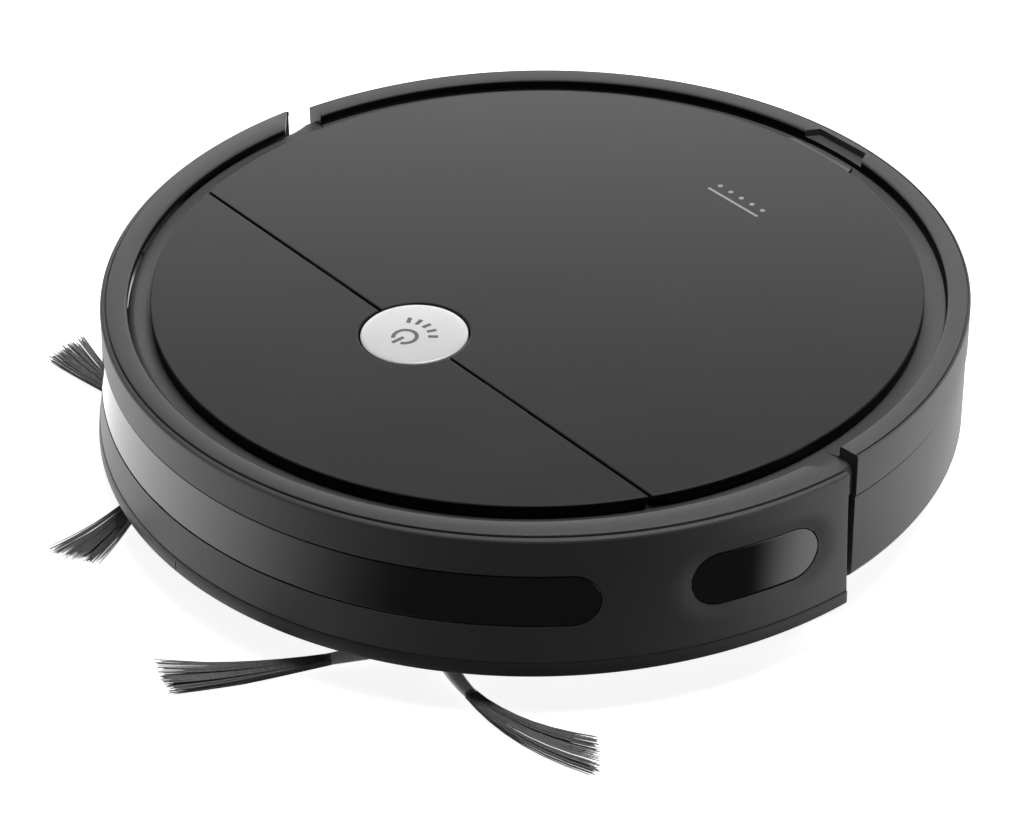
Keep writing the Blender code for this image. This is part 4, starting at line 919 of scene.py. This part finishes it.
def roller():
    """Rows of bristles twisted round the core, over a rubber sleeve."""
    rng = random.Random(3)
    x0, x1 = span("roller_bristles", 0)
    y, z = (sum(span("roller_core", i)) / 2 for i in (1, 2))
    big = (span("roller_bristles", 2)[1] - span("roller_bristles", 2)[0]) / 2 - 0.1
    sleeve = turned([(6.35, x0 - 0.5), (9.2, x0 - 0.5), (9.2, x1 + 0.5), (6.35, x1 + 0.5)],
                    (0, y, z), "X", 40)
    solids = []
    for row in range(6):
        for i in range(64):
            share = i / 63
            x = x0 + 1 + (x1 - x0 - 2) * share
            for _ in range(3):
                turn = 2 * math.pi * row / 6 + math.radians(75) * share + rng.uniform(-0.035, 0.035)
                lean = rng.uniform(-0.03, 0.03)
                root = Vector((x + rng.uniform(-1, 1), y + 8.8 * math.cos(turn), z + 8.8 * math.sin(turn)))
                tip = Vector((root.x + rng.uniform(-0.6, 0.6), y + big * math.cos(turn + lean),
                              z + big * math.sin(turn + lean)))
                solids.append(rod(root, tip, 0.22, 4, 0.14))
    piece("roller_tufts", join_meshes(*solids), BRISTLE, "main_roller", ("roller_bristles",), sharp=80)
    piece("roller_sleeve", sleeve, RUBBER, "main_roller")


def screws():
    """Cross-head screws in the base."""
    solids = []
    places = [(-70, -75), (70, -75), (-60, 80), (60, 80), (-20, 118), (20, 118), (-118, 60), (118, 60),
              (-30, -140 + 6), (0, 95)]
    for x, y in places:
        head = turned([(0.3, BASE_Z - 0.9), (1.6, BASE_Z - 1.0), (3.0, BASE_Z - 0.6), (3.3, BASE_Z + 0.1)],
                      (x, y, 0), sides=24, whole=False)
        solids.append(head)
    made = piece("base_screws", join_meshes(*solids), STEEL, "chassis")
    cross = []
    for x, y in places:
        outline = [(0.35, 1.7), (-0.35, 1.7), (-0.35, 0.35), (-1.7, 0.35), (-1.7, -0.35), (-0.35, -0.35),
                   (-0.35, -1.7), (0.35, -1.7), (0.35, -0.35), (1.7, -0.35), (1.7, 0.35), (0.35, 0.35)]
        cross.append(prism([(x + a, y + b) for a, b in outline], BASE_Z - 2, BASE_Z - 0.45))
    carve(made, "DIFFERENCE", *cross)


# -------------------------------------------------- finishes of CAD pieces

FINISHES = {"shell_plastic": SHELL, "lid_plastic": LID, "window_plastic": WINDOW, "button_plastic": SILVER,
            "inner_plastic": INNER, "bin_plastic": SMOKE, "white_plastic": PALE, "tyre_rubber": RUBBER,
            "strip_rubber": STRIP, "switch_plastic": RUBBER, "steel": STEEL, "contact_metal": CONTACT,
            "bristles": BRISTLE, "circuit_board": BOARD, "filter_paper": PAPER, "battery_wrap": WRAP}


def finish_frame():
    for name, node in frame["nodes"].items():
        node.data.materials.clear()
        node.data.materials.append(FINISHES[record_slot(name)])


# ------------------------------------------------------------------- studio

# The bright sides of the studio seen from the robot: direction, where each begins and is
# full in terms of closeness to it, and its light outside and inside.
SOFTBOXES = ((165.0, -0.5, 0.75, 0.07, 1.9), (52.0, 0.66, 0.80, 0.0, 1.7))


def studio():
    """Dark room whose far side and floor are bright, over a white floor."""
    world = bpy.data.worlds.new("studio")
    bpy.context.scene.world = world
    world.use_nodes = True
    tree = world.node_tree
    place = tree.nodes.new("ShaderNodeTexCoord")
    split = tree.nodes.new("ShaderNodeSeparateXYZ")
    tree.links.new(place.outputs["Generated"], split.inputs["Vector"])
    walls = tree.nodes.new("ShaderNodeMath")
    for i, (angle, start, end, low, high) in enumerate(SOFTBOXES):
        side = tree.nodes.new("ShaderNodeVectorMath")
        side.operation = "DOT_PRODUCT"
        side.inputs[1].default_value = at(1, angle, 0)
        tree.links.new(place.outputs["Generated"], side.inputs[0])
        wall = fade(tree, side.outputs["Value"], start, end, low, high)
        tree.links.new(wall.outputs["Result"], walls.inputs[i])
    height = fade(tree, split.outputs["Z"], -0.2, 0.22, 1.0, 0.06)
    total = tree.nodes.new("ShaderNodeMath")
    total.operation = "MULTIPLY"
    tree.links.new(walls.outputs["Value"], total.inputs[0])
    tree.links.new(height.outputs["Result"], total.inputs[1])
    tree.links.new(total.outputs["Value"], tree.nodes["Background"].inputs["Strength"])
    tree.nodes["Background"].inputs["Color"].default_value = (1, 1, 1, 1)

    bm = bmesh.new()
    bmesh.ops.create_grid(bm, x_segments=1, y_segments=1, size=12)
    mesh = bpy.data.meshes.new("floor")
    bm.to_mesh(mesh)
    bm.free()
    floor = bpy.data.objects.new("floor", mesh)
    bpy.context.scene.collection.objects.link(floor)
    paint = bpy.data.materials.new("floor_white")
    paint.use_nodes = True
    shader = paint.node_tree.nodes["Principled BSDF"]
    shader.inputs["Base Color"].default_value = (0.8, 0.8, 0.8, 1)
    shader.inputs["Roughness"].default_value = 1.0
    shader.inputs["Specular IOR Level"].default_value = 0.0
    shader.inputs["Emission Color"].default_value = (1, 1, 1, 1)
    shader.inputs["Emission Strength"].default_value = 0.88
    mesh.materials.append(paint)
    floor.visible_glossy = False
    floor.visible_diffuse = False


def fade(tree, source, start, end, low, high):
    made = tree.nodes.new("ShaderNodeMapRange")
    made.interpolation_type = "SMOOTHSTEP"
    for socket, value in (("From Min", start), ("From Max", end), ("To Min", low), ("To Max", high)):
        made.inputs[socket].default_value = value
    tree.links.new(source, made.inputs["Value"])
    return made


def area_light(name, position, target, size, power):
    data = bpy.data.lights.new(name, "AREA")
    data.shape = "RECTANGLE"
    data.size, data.size_y = size
    data.energy = power
    lamp = bpy.data.objects.new(name, data)
    bpy.context.scene.collection.objects.link(lamp)
    lamp.location = position
    aim = Vector(target) - Vector(position)
    lamp.rotation_euler = aim.to_track_quat("-Z", "Y").to_euler()
    return lamp


def lights():
    area_light("overhead", (0.2, 0.35, 1.5), (0.02, 0.1, 0), (0.9, 0.9), 6)
    area_light("fill", (0.1, 0.2, 1.6), (0, 0, 0), (1.0, 1.0), 18).visible_glossy = False
    area_light("behind", (-0.84, 0.76, 0.46), (-0.02, 0.05, 0.07), (1.4, 0.3), 3.4)


def camera():
    azimuth, elevation, roll = math.radians(51.22), math.radians(34.54), math.radians(-0.803)
    back = Vector((math.sin(azimuth) * math.cos(elevation), -math.cos(azimuth) * math.cos(elevation),
                   math.sin(elevation)))
    target = AXIS + Vector((0, 0, 0.0131))
    data = bpy.data.cameras.new("camera")
    data.sensor_width = 36.0
    data.lens = 116.46
    data.shift_x = -0.02515
    data.shift_y = -0.0003
    made = bpy.data.objects.new("camera", data)
    bpy.context.scene.collection.objects.link(made)
    turn = (-back).to_track_quat("-Z", "Y").to_matrix() @ Matrix.Rotation(roll, 3, "Z")
    made.matrix_world = Matrix.Translation(target + back * 1.2569) @ turn.to_4x4()
    bpy.context.scene.camera = made
    bpy.context.scene.view_settings.view_transform = "Standard"


camera()
studio()
lights()
finish_frame()
housing()
chassis()
bumper()
lid()
button()
for which, sign in SIDES:
    side_brush(which, sign)
wheels()
roller()
screws()
